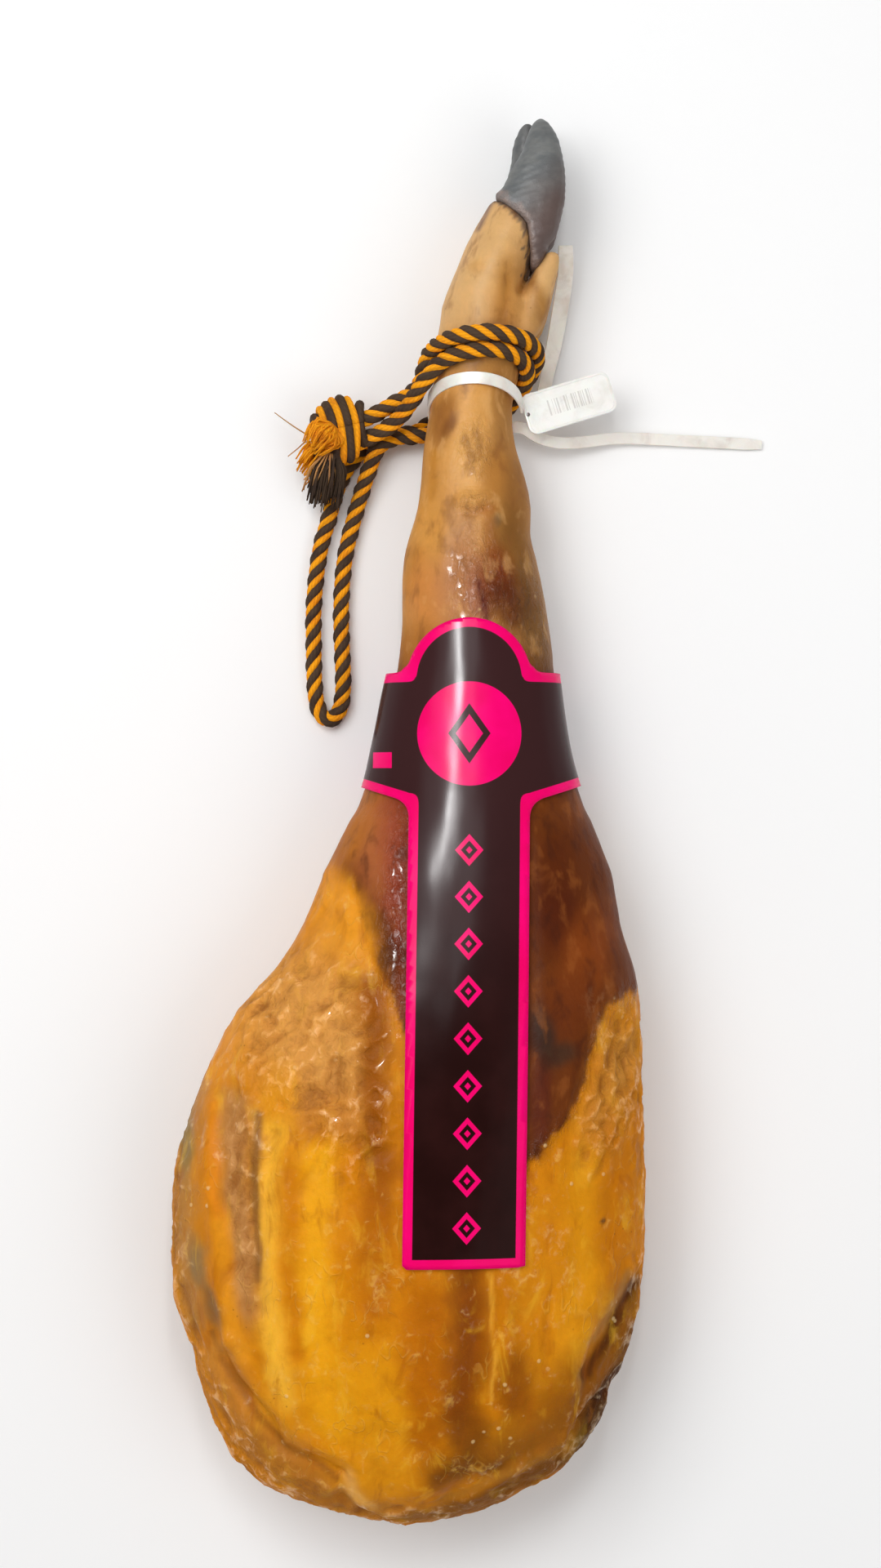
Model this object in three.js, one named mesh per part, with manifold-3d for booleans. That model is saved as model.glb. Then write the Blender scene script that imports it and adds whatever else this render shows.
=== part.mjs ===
// A whole bone-in cured ham, hoof on, lying on its inner face as it would on a table.
// Around the shank it carries a knotted two-colour rope with a hanging loop, a plastic strap seal
// with a flag and a long free end, a loose plastic strip, and a printed T-shaped label.
//
// Units are millimetres, +Z is up and +Y runs along the leg to the hoof. The origin is on the flat
// resting face under the thickest part of the ham, below the label's centre line.

import * as THREE from "three";
import { mergeVertices } from "three/addons/utils/BufferGeometryUtils.js";
import Module from "manifold-3d";

const wasm = await Module();
wasm.setup();

// ---- driving dimensions ----

const floorZ = 0;
const gap = 0.3; // clearance between touching pieces
const ropeDiameter = 10;
const ropeSides = 10;
const ropeSteps = 80;
const labelThickness = 0.8;
const strapThickness = 1.4;
const strapWidth = 7;
const flagThickness = 1.6;
const sectionPoints = 36; // points round one cross-section of the leg

// The leg's cross-sections: [y, left x, right x, bottom z, top z]. Bottoms below the floor are
// trimmed flat, which makes the resting face.
const legStations = [
  [-197, -48, -28, 44, 62],
  [-192, -67, -3, 34, 76],
  [-186, -91, 12, 25, 87],
  [-178, -115, 28, 17, 96],
  [-165, -133, 53, 9, 106],
  [-148, -144, 72, 1, 114],
  [-125, -155, 80, -3, 122],
  [-100, -161, 87, -4, 127],
  [-70, -171, 95, -4, 130],
  [-30, -172, 97.5, -4, 132],
  [5, -171, 98.5, -4, 131],
  [40, -162, 98, -4, 129],
  [70, -150, 97, -4, 126],
  [98, -134.5, 95.5, -3, 122],
  [120, -113.5, 92, -2, 118],
  [145, -97, 84, 0, 113],
  [176, -86, 78.5, 4, 107],
  [208, -69, 66.5, 8, 100],
  [225, -62.5, 60.5, 10, 96],
  [246, -56.5, 54.5, 11, 92],
  [270, -49.5, 50, 12, 88],
  [300, -42.5, 46, 13, 83],
  [332, -40.5, 41.5, 15, 78],
  [356, -39.5, 36.5, 16, 74],
  [372, -35.5, 33, 17, 71],
  [388, -31, 33, 17.5, 68],
  [405, -29, 30, 18, 65],
  [422, -28, 24.5, 18, 62],
  [447, -24, 22, 17.5, 59],
  [462, -22, 25, 17, 59],
  [478, -20, 29.5, 15, 60],
  [487, -19.5, 33.5, 13, 61],
  [496, -18, 36, 11, 61.5],
  [505, -17, 35, 9, 61.5],
  [514, -14, 31, 6, 62],
  [521, -11, 30.5, 5, 62],
  [530, -7, 34, 4, 62],
  [540, -3.5, 39, 3, 61],
  [552, 2.5, 45, 3, 61],
  [564, 9.5, 49, 4, 60],
  [573, 16, 50, 6, 58],
];
const waistShare = 0.45; // height of the widest level, as a share of the section's thickness
const roundTop = 2.05; // superellipse exponents: 2 is an ellipse, more is squarer
const squareBottom = 2.5;

// The coronet, where skin meets hoof, seen from above. The hoof lies on its right.
const coronet = [
  [4, 572],
  [15.8, 563.8],
  [20.8, 559],
  [27, 554.3],
  [30.8, 549.8],
  [32, 542.6],
  [33, 533.5],
  [33, 520],
];

// ---- solids and meshes ----

function toSolid(geometry) {
  const plain = new THREE.BufferGeometry();
  plain.setAttribute("position", geometry.getAttribute("position").clone());
  if (geometry.index) plain.setIndex(geometry.index.clone());
  const merged = mergeVertices(plain, 1e-4);
  return new wasm.Manifold(
    new wasm.Mesh({
      numProp: 3,
      vertProperties: merged.getAttribute("position").array,
      triVerts: new Uint32Array(merged.index.array),
    }),
  );
}

function toGeometry(solid) {
  const mesh = solid.getMesh();
  return new THREE.BufferGeometry()
    .setAttribute("position", new THREE.BufferAttribute(mesh.vertProperties, 3))
    .setIndex(new THREE.BufferAttribute(mesh.triVerts, 1));
}

// A closed skin over a row of rings that hold the same number of points, capped at both ends.
function loft(rings) {
  const count = rings[0].length;
  const points = rings.flat();
  const faces = [];
  for (let r = 0; r + 1 < rings.length; r++) {
    for (let i = 0; i < count; i++) {
      const a = r * count + i;
      const b = r * count + ((i + 1) % count);
      faces.push(a, b, b + count, a, b + count, a + count);
    }
  }
  for (const [ring, first, turn] of [
    [rings[0], 0, 1],
    [rings.at(-1), (rings.length - 1) * count, -1],
  ]) {
    const centre = ring.reduce((sum, p) => sum.add(p), new THREE.Vector3()).divideScalar(count);
    points.push(centre);
    for (let i = 0; i < count; i++) {
      const a = first + i;
      const b = first + ((i + 1) % count);
      faces.push(points.length - 1, ...(turn > 0 ? [b, a] : [a, b]));
    }
  }
  return facingOut(new THREE.BufferGeometry().setFromPoints(points).setIndex(faces));
}

function facingOut(geometry) {
  const p = geometry.getAttribute("position");
  const index = geometry.index.array;
  const [a, b, c] = [new THREE.Vector3(), new THREE.Vector3(), new THREE.Vector3()];
  let volume = 0;
  for (let i = 0; i < index.length; i += 3) {
    a.fromBufferAttribute(p, index[i]);
    b.fromBufferAttribute(p, index[i + 1]);
    c.fromBufferAttribute(p, index[i + 2]);
    volume += a.dot(b.cross(c));
  }
  if (volume < 0) {
    for (let i = 0; i < index.length; i += 3) {
      [index[i + 1], index[i + 2]] = [index[i + 2], index[i + 1]];
    }
  }
  return geometry;
}

// An upright prism over an outline drawn in the X-Y plane.
function prism(outline, bottom = -100, top = 300) {
  const shape = new THREE.Shape(outline.map(([x, y]) => new THREE.Vector2(x, y)));
  return toSolid(
    new THREE.ExtrudeGeometry(shape, { depth: top - bottom, bevelEnabled: false }).translate(0, 0, bottom),
  );
}

// A round tube of even thickness along a smooth line through some places.
function tube(centres, radius) {
  const section = new THREE.Shape(
    Array.from({ length: ropeSides }, (_, i) => {
      const t = (i / ropeSides) * 2 * Math.PI;
      return new THREE.Vector2(Math.cos(t), Math.sin(t)).multiplyScalar(radius);
    }),
  );
  const route = new THREE.CatmullRomCurve3(centres, false, "centripetal");
  const along = { steps: ropeSteps, bevelEnabled: false, extrudePath: route };
  return toSolid(new THREE.ExtrudeGeometry(section, along));
}

// ---- the leg ----

const legShape = new THREE.CubicInterpolant(
  legStations.map((s) => s[0]),
  legStations.flatMap((s) => s.slice(1)),
  4,
);

// The leg's extent at y, with its left, right, bottom and top pushed out by the grow values.
function legBox(y, grow) {
  const [left, right, bottom, top] = legShape.evaluate(y);
  return {
    left: left - grow[0],
    right: right + grow[1],
    bottom: bottom - grow[2],
    top: top + grow[3],
  };
}

function legSection(y, grow = [0, 0, 0, 0]) {
  return roundedSection(y, legBox(y, grow), waistShare, roundTop, squareBottom, sectionPoints);
}

function roundedSection(y, box, waist, upper, lower, count) {
  const angles = Array.from({ length: count }, (_, i) => (i / count) * 2 * Math.PI);
  return angles.map((angle) => roundedPoint(y, box, waist, upper, lower, angle));
}

function roundedPoint(y, { left, right, bottom, top }, waist, upper, lower, angle) {
  const level = bottom + waist * (top - bottom);
  const bend = (value, power) => Math.sign(value) * Math.abs(value) ** (2 / power);
  const power = Math.sin(angle) >= 0 ? upper : lower;
  const height = Math.sin(angle) >= 0 ? top - level : level - bottom;
  const x = (left + right) / 2 + ((right - left) / 2) * bend(Math.cos(angle), power);
  return new THREE.Vector3(x, y, level + height * bend(Math.sin(angle), power));
}

// The place on the leg's skin at one angle round the section at y, pushed out by grow.
function skinPoint(y, degrees, grow) {
  const angle = THREE.MathUtils.degToRad(degrees);
  return roundedPoint(y, legBox(y, grow), waistShare, roundTop, squareBottom, angle);
}

// Section places: every station, and one halfway between those that lie far apart.
function places(from, to, step) {
  const inside = legStations.map((s) => s[0]).filter((y) => y > from && y < to);
  const all = [from, ...inside, to];
  return all.flatMap((y, i) => {
    const next = all[i + 1];
    return next !== undefined && next - y > step ? [y, (y + next) / 2] : [y];
  });
}

function dewclaw(bottom, top) {
  const stations = [
    [483, 14, 32],
    [491, 22, 39],
    [500, 26, 42.5],
    [510, 28.5, 45],
    [514.6, 29.5, 46],
    [519, 32.6, 47],
    [528, 38.8, 48.9],
    [534.5, 43.2, 49.3],
  ];
  const shrink = 3; // the tip is this much thinner on each side than the root
  return toSolid(
    loft(
      stations.map(([y, left, right], i) => {
        const thin = (shrink * i) / (stations.length - 1);
        return roundedSection(y, { left, right, bottom: bottom + thin, top: top - thin }, 0.5, 2.3, 2.3, 14);
      }),
    ),
  );
}

// Everything on the hoof's side of the coronet, moved towards the hoof by clear.
function hoofZone(clear) {
  const edge = coronet.map(([x, y]) => [x + clear, y + clear]);
  return prism([...edge, [90, edge.at(-1)[1]], [90, 640], [edge[0][0], 640]]);
}

function curedLeg() {
  const first = legStations[0][0];
  const last = legStations.at(-1)[0];
  const body = toSolid(loft(places(first, last, 14).map((y) => legSection(y))));
  const below = toSolid(new THREE.BoxGeometry(1000, 2000, 200).translate(0, 0, floorZ - 100));
  return body.subtract(hoofZone(0)).subtract(below).add(dewclaw(35, 55)).add(dewclaw(9, 29));
}

// ---- the two hoof claws, one above the other as the foot lies on its side ----

// A claw's outline from heel to toe: [y, left x, right x, share of the full depth].
const clawStations = [
  [526.6, 34, 36.6, 0.6],
  [530, 31, 39.2, 0.78],
  [535, 28, 41.6, 0.9],
  [540, 25, 42.8, 0.96],
  [545.5, 20, 47.5, 1],
  [553.5, 14, 49.3, 1],
  [564, 11.5, 52, 1],
  [573, 18.6, 52.4, 0.97],
  [583, 23.5, 52.2, 0.92],
  [592, 28.9, 51, 0.84],
  [599.5, 31.6, 48.8, 0.74],
  [605, 33.4, 46.4, 0.62],
  [610.4, 36, 43.2, 0.4],
  [613, 38.4, 41.2, 0.15],
];
const toeSpread = 7.5; // how far the second claw's toe lies to the left of the first

function claw(innerZ, outerZ, spread) {
  const depth = outerZ - innerZ;
  const rings = clawStations.map(([y, left, right, share]) => {
    const shift = -spread * THREE.MathUtils.smoothstep(y, 573, 604);
    const inner = innerZ + depth * 0.1 * (1 - share);
    const outer = innerZ + depth * (0.1 + 0.9 * share);
    const box = { left: left + shift, right: right + shift };
    box.bottom = Math.min(inner, outer);
    box.top = Math.max(inner, outer);
    return roundedSection(y, box, 0.5, 2.6, 2.6, 20);
  });
  return toSolid(loft(rings)).intersect(hoofZone(gap));
}

// ---- the label: arms round the shank, an arched head and a long tongue down the front ----

const label = {
  centreX: -2.5,
  archRadius: 35,
  archTop: 322,
  armTop: 291,
  armBottomInner: 217,
  armBottomOuter: 226,
  tongueHalf: 34,
  tongueEnd: -40,
  tongueLean: -3.5, // sideways drift of the tongue's lower end
  chamfer: 12,
};

function labelFront() {
  const { centreX, archRadius, archTop, armTop, armBottomInner, armBottomOuter, tongueHalf } = label;
  const reach = 120;
  const shape = new THREE.Shape();
  shape.moveTo(centreX - reach, armTop);
  shape.lineTo(centreX - reach, armBottomOuter);
  shape.lineTo(centreX - tongueHalf - label.chamfer / 2, armBottomInner);
  shape.lineTo(centreX - tongueHalf, armBottomInner - label.chamfer);
  shape.lineTo(centreX - tongueHalf + label.tongueLean, label.tongueEnd);
  shape.lineTo(centreX + tongueHalf + label.tongueLean, label.tongueEnd);
  shape.lineTo(centreX + tongueHalf, armBottomInner - label.chamfer);
  shape.lineTo(centreX + tongueHalf + label.chamfer / 2, armBottomInner);
  shape.lineTo(centreX + reach, armBottomOuter);
  shape.lineTo(centreX + reach, armTop);
  shape.lineTo(centreX + archRadius + 1, armTop);
  const archSteps = 14;
  for (let i = 0; i <= archSteps; i++) {
    const t = (i / archSteps) * Math.PI;
    shape.lineTo(centreX + archRadius * Math.cos(t), armTop + 1 + (archTop - armTop - 1) * Math.sin(t));
  }
  shape.lineTo(centreX - archRadius - 1, armTop);
  shape.closePath();
  return shape;
}

function labelArms() {
  const { centreX, armTop, armBottomInner, armBottomOuter } = label;
  const reach = 120;
  const outline = [
    [-reach, armTop],
    [-reach, armBottomOuter],
    [0, armBottomInner],
    [reach, armBottomOuter],
    [reach, armTop],
  ];
  return new THREE.Shape(outline.map(([x, y]) => new THREE.Vector2(centreX + x, y)));
}

// The sheet stands a little off the leg, most at its upper left, where it springs away.
function labelGrowth(y, outward) {
  const up = THREE.MathUtils.smoothstep(y, label.armBottomOuter, label.armTop);
  return [1.5 + 4 * up, 1.5 + 1 * up, 1.8, 1.8].map((g) => g + outward);
}

function labelBand() {
  const skin = (outward) =>
    toSolid(loft(places(-60, 340, 16).map((y) => legSection(y, labelGrowth(y, outward)))));
  const tall = (shape, from) =>
    toSolid(new THREE.ExtrudeGeometry(shape, { depth: 400, bevelEnabled: false }).translate(0, 0, from));
  const cutter = tall(labelFront(), 52).add(tall(labelArms(), -100));
  return skin(labelThickness).subtract(skin(0)).intersect(cutter);
}

// ---- the strap seal, its flag and the loose strip ----

// A flat strip along a smooth line. Its width follows the given directions, square to the line.
function strip(centres, widthDirections, width, thickness) {
  const line = new THREE.CatmullRomCurve3(centres, false, "centripetal");
  const rings = centres.map((centre, i) => {
    const along = line.getTangent(i / (centres.length - 1));
    if (i > 0 && i < centres.length - 1) along.subVectors(centres[i + 1], centres[i - 1]).normalize();
    const across = widthDirections[i].clone().projectOnPlane(along).normalize();
    const normal = new THREE.Vector3().crossVectors(along, across).normalize();
    across.multiplyScalar(width / 2);
    normal.multiplyScalar(thickness / 2);
    const corner = (u, v) => centre.clone().addScaledVector(across, u).addScaledVector(normal, v);
    return [corner(-1, -1), corner(1, -1), corner(1, 1), corner(-1, 1)];
  });
  return loft(rings);
}

// The strap's ring leans towards the hoof on its upper side and stands off the leg on its right,
// where its head is.
const seal = {
  centreY: 447,
  rise: 13.8,
  skew: 2,
  standOff: [1.9, 6.7, 2.1, 2.1],
  headAngle: -8, // where the head sits, in degrees from the +X side
};

function strapPoint(degrees) {
  const t = THREE.MathUtils.degToRad(degrees);
  return skinPoint(seal.centreY + seal.rise * Math.sin(t) - seal.skew * Math.cos(t), degrees, seal.standOff);
}

// From the head over the top of the shank, round underneath and back out past the head.
function sealStrap() {
  const turnSteps = 34;
  const start = seal.headAngle + 12;
  const end = 360 - 38;
  const centres = [];
  for (let i = 0; i <= turnSteps; i++) centres.push(strapPoint(start + ((end - start) * i) / turnSteps));
  const tail = [
    [30.5, 436, 21.5],
    [38, 431.4, 21],
    [46, 429, 18.5],
    [56, 428.4, 14.5],
    [69, 430, 10],
    [83, 432, 6.5],
    [100, 432.2, 4],
    [136, 430.6, 2],
    [172, 428.8, 1.3],
  ];
  centres.push(...tail.map((p) => new THREE.Vector3(...p)));
  const alongY = new THREE.Vector3(0, 1, 0);
  return toSolid(strip(centres, centres.map(() => alongY), strapWidth, strapThickness));
}

function sealFlag() {
  const outline = new THREE.Shape();
  const halfHigh = 12.2;
  const long = 53.5;
  const corner = 5.5;
  outline.moveTo(0, -5);
  outline.lineTo(4, -halfHigh + 1);
  outline.lineTo(8, -halfHigh);
  outline.absarc(long - corner, -halfHigh + corner, corner, -Math.PI / 2, 0);
  outline.absarc(long - corner, halfHigh - corner, corner, 0, Math.PI / 2);
  outline.lineTo(2, halfHigh - 1);
  outline.lineTo(0, halfHigh - 3);
  outline.closePath();
  const plate = new THREE.ExtrudeGeometry(outline, {
    depth: flagThickness,
    bevelEnabled: false,
    curveSegments: 5,
  });
  const head = new THREE.BoxGeometry(9, 10, 5.5).translate(5.5, 0, -2.75 + flagThickness / 2);
  return toSolid(plate).add(toSolid(head));
}

function looseStrip() {
  const centres = [
    [41, 452, 12],
    [43.5, 461, 11.5],
    [47, 473, 12],
    [51, 489, 14],
    [54.5, 509, 18],
    [56.5, 527, 22],
    [56, 543, 26],
  ].map((p) => new THREE.Vector3(...p));
  const across = centres.map(() => new THREE.Vector3(1, 0, -0.35));
  return toSolid(strip(centres, across, 9, 1.2));
}

// ---- the rope ----

// Each turn of the rope over the shank: its places are on the skin, at angles counted from the +X
// side over the top. The upper turn rides a little on the lower one.
const turns = {
  lower: { y: 461.3, over: 15.3, under: 19.5, lean: 2.5, ride: 0, right: 0 },
  upper: { y: 474, over: 11.5, under: 20.6, lean: 0, ride: 5, right: 2.9 },
};

function turnPoint({ y, over, under, lean, ride, right }, degrees) {
  const t = THREE.MathUtils.degToRad(degrees);
  const up = Math.sin(t);
  const off = ropeDiameter / 2 + gap + 0.7;
  const along = y + (up > 0 ? over : under) * up + lean * Math.cos(t);
  return skinPoint(along, degrees, [off, off + right, off, off + ride * Math.max(up, 0)]);
}

function turn(kind, from, to, count) {
  const angles = Array.from({ length: count }, (_, i) => from + ((to - from) * i) / (count - 1));
  return angles.map((degrees) => turnPoint(kind, degrees));
}

const asPoints = (rows) => rows.map((p) => new THREE.Vector3(...p));

// From the knot along the lower layer of the band, round the far side of the shank's left.
const fromKnot = [
  [-74, 437.5, 26],
  [-66.5, 439.8, 26.5],
  [-59, 442.8, 27.5],
  [-51.5, 446.8, 28.5],
  [-44, 451, 30],
  [-37, 454.6, 32],
  [-32.3, 458.8, 34.5],
  [-29.4, 464.2, 37],
  [-28, 470.2, 39.5],
];
// From under the shank, down the hanging loop's left leg, round its end and up its right leg.
const hangingLoop = [
  [-19.5, 445.5, 7],
  [-27, 439.5, 5.6],
  [-34, 435.8, 5.3],
  [-44, 434, 5.3],
  [-55, 431.5, 5.3],
  [-66, 424.5, 5.3],
  [-75, 413, 5.3],
  [-81, 399, 5.3],
  [-85, 384.5, 5.3],
  [-89.5, 369, 5.3],
  [-92.5, 350, 5.3],
  [-94, 330, 5.3],
  [-94, 310, 5.3],
  [-93.6, 290, 5.3],
  [-92.3, 276, 5.3],
  [-89.5, 268.5, 5.3],
  [-85.4, 265.6, 5.3],
  [-81.2, 267.5, 5.3],
  [-77.8, 274, 5.3],
  [-76.5, 286, 5.3],
  [-77, 304, 5.3],
  [-77.7, 324, 5.3],
  [-77.2, 344, 5.3],
  [-75, 364, 5.3],
  [-70.5, 383, 5.5],
  [-65.5, 400, 7.8],
  [-60.5, 414.5, 12],
  [-55.5, 425.6, 15.4],
  [-46, 431.3, 16.2],
  [-34, 432.2, 16.2],
  [-26.5, 433.4, 13.8],
  [-19, 436.6, 9.8],
];
// From the top of the shank down over the first strand and back into the knot.
const toKnot = [
  [-24.6, 464, 53],
  [-30.2, 457.6, 47.8],
  [-34.8, 450.9, 41.4],
  [-39.8, 444.7, 35.8],
  [-45.4, 439, 31.4],
  [-52, 434.6, 28.2],
  [-59.5, 430.8, 25.4],
  [-68, 427, 23],
];

// One rope with both ends in the knot: over the shank, under it, round the hanging loop and back.
function ropeCentres() {
  return [
    ...asPoints(fromKnot),
    ...turn(turns.upper, 166, -108, 18),
    ...asPoints(hangingLoop),
    ...turn(turns.lower, -98, 137, 16),
    ...asPoints(toKnot),
  ];
}

const knotCentre = [-78.6, 434.5, 25.5];
const knotRadii = [14.8, 20.5, 13];
const knotLean = 0.15; // radians

// The knot as one closed lump with sockets for the rope's two ends and the leg of the loop below it.
function ropeKnot(centres) {
  const socket = [...centres];
  for (const [end, next] of [[0, 1], [centres.length - 1, centres.length - 2]]) {
    const out = new THREE.Vector3().subVectors(centres[end], centres[next]).setLength(2 * gap);
    socket[end] = centres[end].clone().add(out);
  }
  const lump = new THREE.SphereGeometry(1, 20, 14).scale(...knotRadii).rotateZ(knotLean);
  lump.translate(...knotCentre);
  return toSolid(lump).subtract(tube(socket, ropeDiameter / 2 + gap));
}

// The rope's two cut ends are tufts of loose yarn, each a row of rings that swell and then thin.
function tuft(centres, radii) {
  const rings = asPoints(centres).map((centre, i, line) => {
    const next = line[Math.min(i + 1, line.length - 1)];
    const along = next.clone().sub(line[Math.max(i - 1, 0)]).normalize();
    const side = new THREE.Vector3(0, 0, 1).projectOnPlane(along).normalize();
    const up = new THREE.Vector3().crossVectors(along, side);
    return Array.from({ length: ropeSides }, (_, k) => {
      const t = (k / ropeSides) * 2 * Math.PI;
      const out = side.clone().multiplyScalar(Math.cos(t)).addScaledVector(up, Math.sin(t));
      return centre.clone().addScaledVector(out, radii[i]);
    });
  });
  return toSolid(loft(rings));
}

function upperTuft() {
  return tuft([[-97, 437, 21], [-100, 430, 18], [-102, 422, 14], [-103, 413, 9]], [4, 7.5, 7.5, 3]);
}

function lowerTuft() {
  return tuft([[-88, 412.5, 21], [-91, 406, 21], [-93.5, 398, 18.5], [-95, 386, 16]], [4, 6.5, 5.5, 2.5]);
}

// ---- the assembly ----

const looks = {
  skin: { color: 0xc98a3c, roughness: 0.45, metalness: 0 },
  hoof: { color: 0x3b3a3c, roughness: 0.6, metalness: 0 },
  label: { color: 0x2b1216, roughness: 0.25, metalness: 0 },
  seal: { color: 0xe9e6de, roughness: 0.4, metalness: 0 },
  rope: { color: 0xc9811a, roughness: 0.9, metalness: 0 },
};

function named(name, shape, look) {
  const geometry = shape.isBufferGeometry ? shape : toGeometry(shape);
  const mesh = new THREE.Mesh(geometry, new THREE.MeshStandardMaterial(looks[look]));
  mesh.name = name;
  return mesh;
}

const ham = new THREE.Group();
ham.add(named("cured_leg", curedLeg(), "skin"));
ham.add(named("hoof_upper", claw(32.5, 62, 0), "hoof"));
ham.add(named("hoof_lower", claw(31.5, 3, toeSpread), "hoof"));
ham.add(named("label_sleeve", labelBand(), "label"));
ham.add(named("seal_strap", sealStrap(), "seal"));
ham.add(named("loose_strip", looseStrip(), "seal"));
ham.add(named("rope", tube(ropeCentres(), ropeDiameter / 2), "rope"));
ham.add(named("rope_knot", ropeKnot(ropeCentres()), "rope"));
ham.add(named("frayed_end_upper", upperTuft(), "rope"));
ham.add(named("frayed_end_lower", lowerTuft(), "rope"));

const flag = named("seal_flag", sealFlag(), "seal");
flag.position.set(30.6, 441.9, 33);
flag.rotation.set(0, THREE.MathUtils.degToRad(3), THREE.MathUtils.degToRad(17.3));
ham.add(flag);

export default ham;
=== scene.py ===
# A whole bone-in cured ham, hoof on, lying on a pale studio floor and seen from straight above.
# Round its shank are a knotted two-colour rope, a plastic strap seal with a flag and a printed label.
import math
import random

import bpy
import numpy as np
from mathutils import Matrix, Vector
from mathutils.bvhtree import BVHTree


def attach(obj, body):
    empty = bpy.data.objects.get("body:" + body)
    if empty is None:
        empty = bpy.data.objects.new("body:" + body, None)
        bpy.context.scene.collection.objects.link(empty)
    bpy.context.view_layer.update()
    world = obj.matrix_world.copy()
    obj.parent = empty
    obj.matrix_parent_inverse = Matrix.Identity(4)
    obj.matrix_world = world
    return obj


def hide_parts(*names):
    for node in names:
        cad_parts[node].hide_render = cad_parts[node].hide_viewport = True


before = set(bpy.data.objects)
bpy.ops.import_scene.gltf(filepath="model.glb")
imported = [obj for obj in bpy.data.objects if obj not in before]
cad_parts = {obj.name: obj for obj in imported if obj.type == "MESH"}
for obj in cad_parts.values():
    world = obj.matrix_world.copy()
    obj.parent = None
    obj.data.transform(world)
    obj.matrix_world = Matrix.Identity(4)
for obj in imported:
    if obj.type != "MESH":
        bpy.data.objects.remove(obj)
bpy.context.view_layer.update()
mm = 0.001  # one millimetre in metres


def srgb(red, green, blue):
    def linear(value):
        value /= 255
        return value / 12.92 if value <= 0.04045 else ((value + 0.055) / 1.055) ** 2.4
    return (linear(red), linear(green), linear(blue), 1.0)


def deselectAll():
    for item in bpy.context.selected_objects:
        item.select_set(False)


def pick(item):
    deselectAll()
    item.select_set(True)
    bpy.context.view_layer.objects.active = item


def applyAll(item):
    pick(item)
    for modifier in list(item.modifiers):
        bpy.ops.object.modifier_apply(modifier=modifier.name)


def settle(item):
    pick(item)
    bpy.ops.object.transform_apply(location=True, rotation=True, scale=True)


def meshPiece(name, verts, faces):
    mesh = bpy.data.meshes.new(name)
    mesh.from_pydata([tuple(v) for v in verts], [], [tuple(f) for f in faces])
    mesh.update()
    item = bpy.data.objects.new(name, mesh)
    bpy.context.scene.collection.objects.link(item)
    mesh.shade_smooth()
    return item


def smoothStep(low, high, value):
    t = np.clip((value - low) / (high - low), 0, 1)
    return t * t * (3 - 2 * t)


hashPrimes = (73856093, 19349663, 83492791, 1274126177)


# smooth random field from -1 to 1 over points in mm, with features of the given size
def field(points, size, seed):
    q = points / size + seed * 7.31
    cell = np.floor(q).astype(np.int64)
    f = q - cell
    f = f * f * (3 - 2 * f)
    total = np.zeros(len(points))
    for dx in (0, 1):
        for dy in (0, 1):
            for dz in (0, 1):
                h = (cell[:, 0] + dx) * hashPrimes[0] ^ (cell[:, 1] + dy) * hashPrimes[1]
                h = h ^ (cell[:, 2] + dz) * hashPrimes[2]
                h = (h ^ (h >> 13)) * hashPrimes[3]
                value = ((h >> 8) & 0xFFFF) / 32767.5 - 1
                weight = (f[:, 0] if dx else 1 - f[:, 0]) * (f[:, 1] if dy else 1 - f[:, 1])
                total += value * weight * (f[:, 2] if dz else 1 - f[:, 2])
    return total


def roughField(points, size, seed, layers=3):
    return sum(field(points, size / 2 ** k, seed + k) / 2 ** k for k in range(layers)) / 1.6


# Catmull-Rom line through given points, sampled at even steps
def smoothLine(points, step):
    pts = [Vector(p) for p in points]
    pts = [pts[0] * 2 - pts[1]] + pts + [pts[-1] * 2 - pts[-2]]
    dense = []
    for a, b, c, d in zip(pts, pts[1:], pts[2:], pts[3:]):
        for k in range(16):
            t = k / 16
            dense.append(0.5 * (2 * b + (c - a) * t + (2 * a - 5 * b + 4 * c - d) * t * t
                                + (3 * b - 3 * c + d - a) * t ** 3))
    dense.append(pts[-2])
    lengths = [0]
    for a, b in zip(dense, dense[1:]):
        lengths.append(lengths[-1] + (b - a).length)
    count = max(2, round(lengths[-1] / step))
    line, j = [], 0
    for i in range(count + 1):
        want = lengths[-1] * i / count
        while j < len(lengths) - 2 and lengths[j + 1] < want:
            j += 1
        share = (want - lengths[j]) / max(lengths[j + 1] - lengths[j], 1e-12)
        line.append(dense[j].lerp(dense[j + 1], share))
    return line


# directions square to a line, turning no more than the line does
def lineFrames(line):
    side = Vector((0, 0, 1))
    frames = []
    for i, point in enumerate(line):
        along = (line[min(i + 1, len(line) - 1)] - line[max(i - 1, 0)]).normalized()
        side = (side - along * side.dot(along)).normalized()
        frames.append((along, side, along.cross(side)))
    return frames


# one closed tube; its UV runs along in mm and round once
def tubeMesh(line, radii, sides, verts, faces, uvs):
    base = len(verts)
    frames = lineFrames(line)
    run = 0.0
    for i, (point, (along, side, up)) in enumerate(zip(line, frames)):
        if i:
            run += (point - line[i - 1]).length / mm
        radius = radii[i] if hasattr(radii, "__len__") else radii
        for k in range(sides):
            t = 2 * math.pi * k / sides
            verts.append(point + side * (radius * math.cos(t)) + up * (radius * math.sin(t)))
            uvs.append((run, k / sides))
    rings = len(line)
    for r in range(rings - 1):
        for k in range(sides):
            a = base + r * sides + k
            b = base + r * sides + (k + 1) % sides
            faces.append((a, b, b + sides, a + sides))
    for r, flip in ((0, True), (rings - 1, False)):
        ring = [base + r * sides + k for k in range(sides)]
        faces.append(tuple(reversed(ring)) if flip else tuple(ring))


def storeUv(item, uvs):
    layer = item.data.uv_layers.new(name="run")
    for loop in item.data.loops:
        layer.data[loop.index].uv = uvs[loop.vertex_index]


# straight above the leg, in mm
cameraSpec = {"at": (-18.8, 227.4, 1800), "lens": 69.5, "sensor": 36, "reach": 20}


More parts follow.
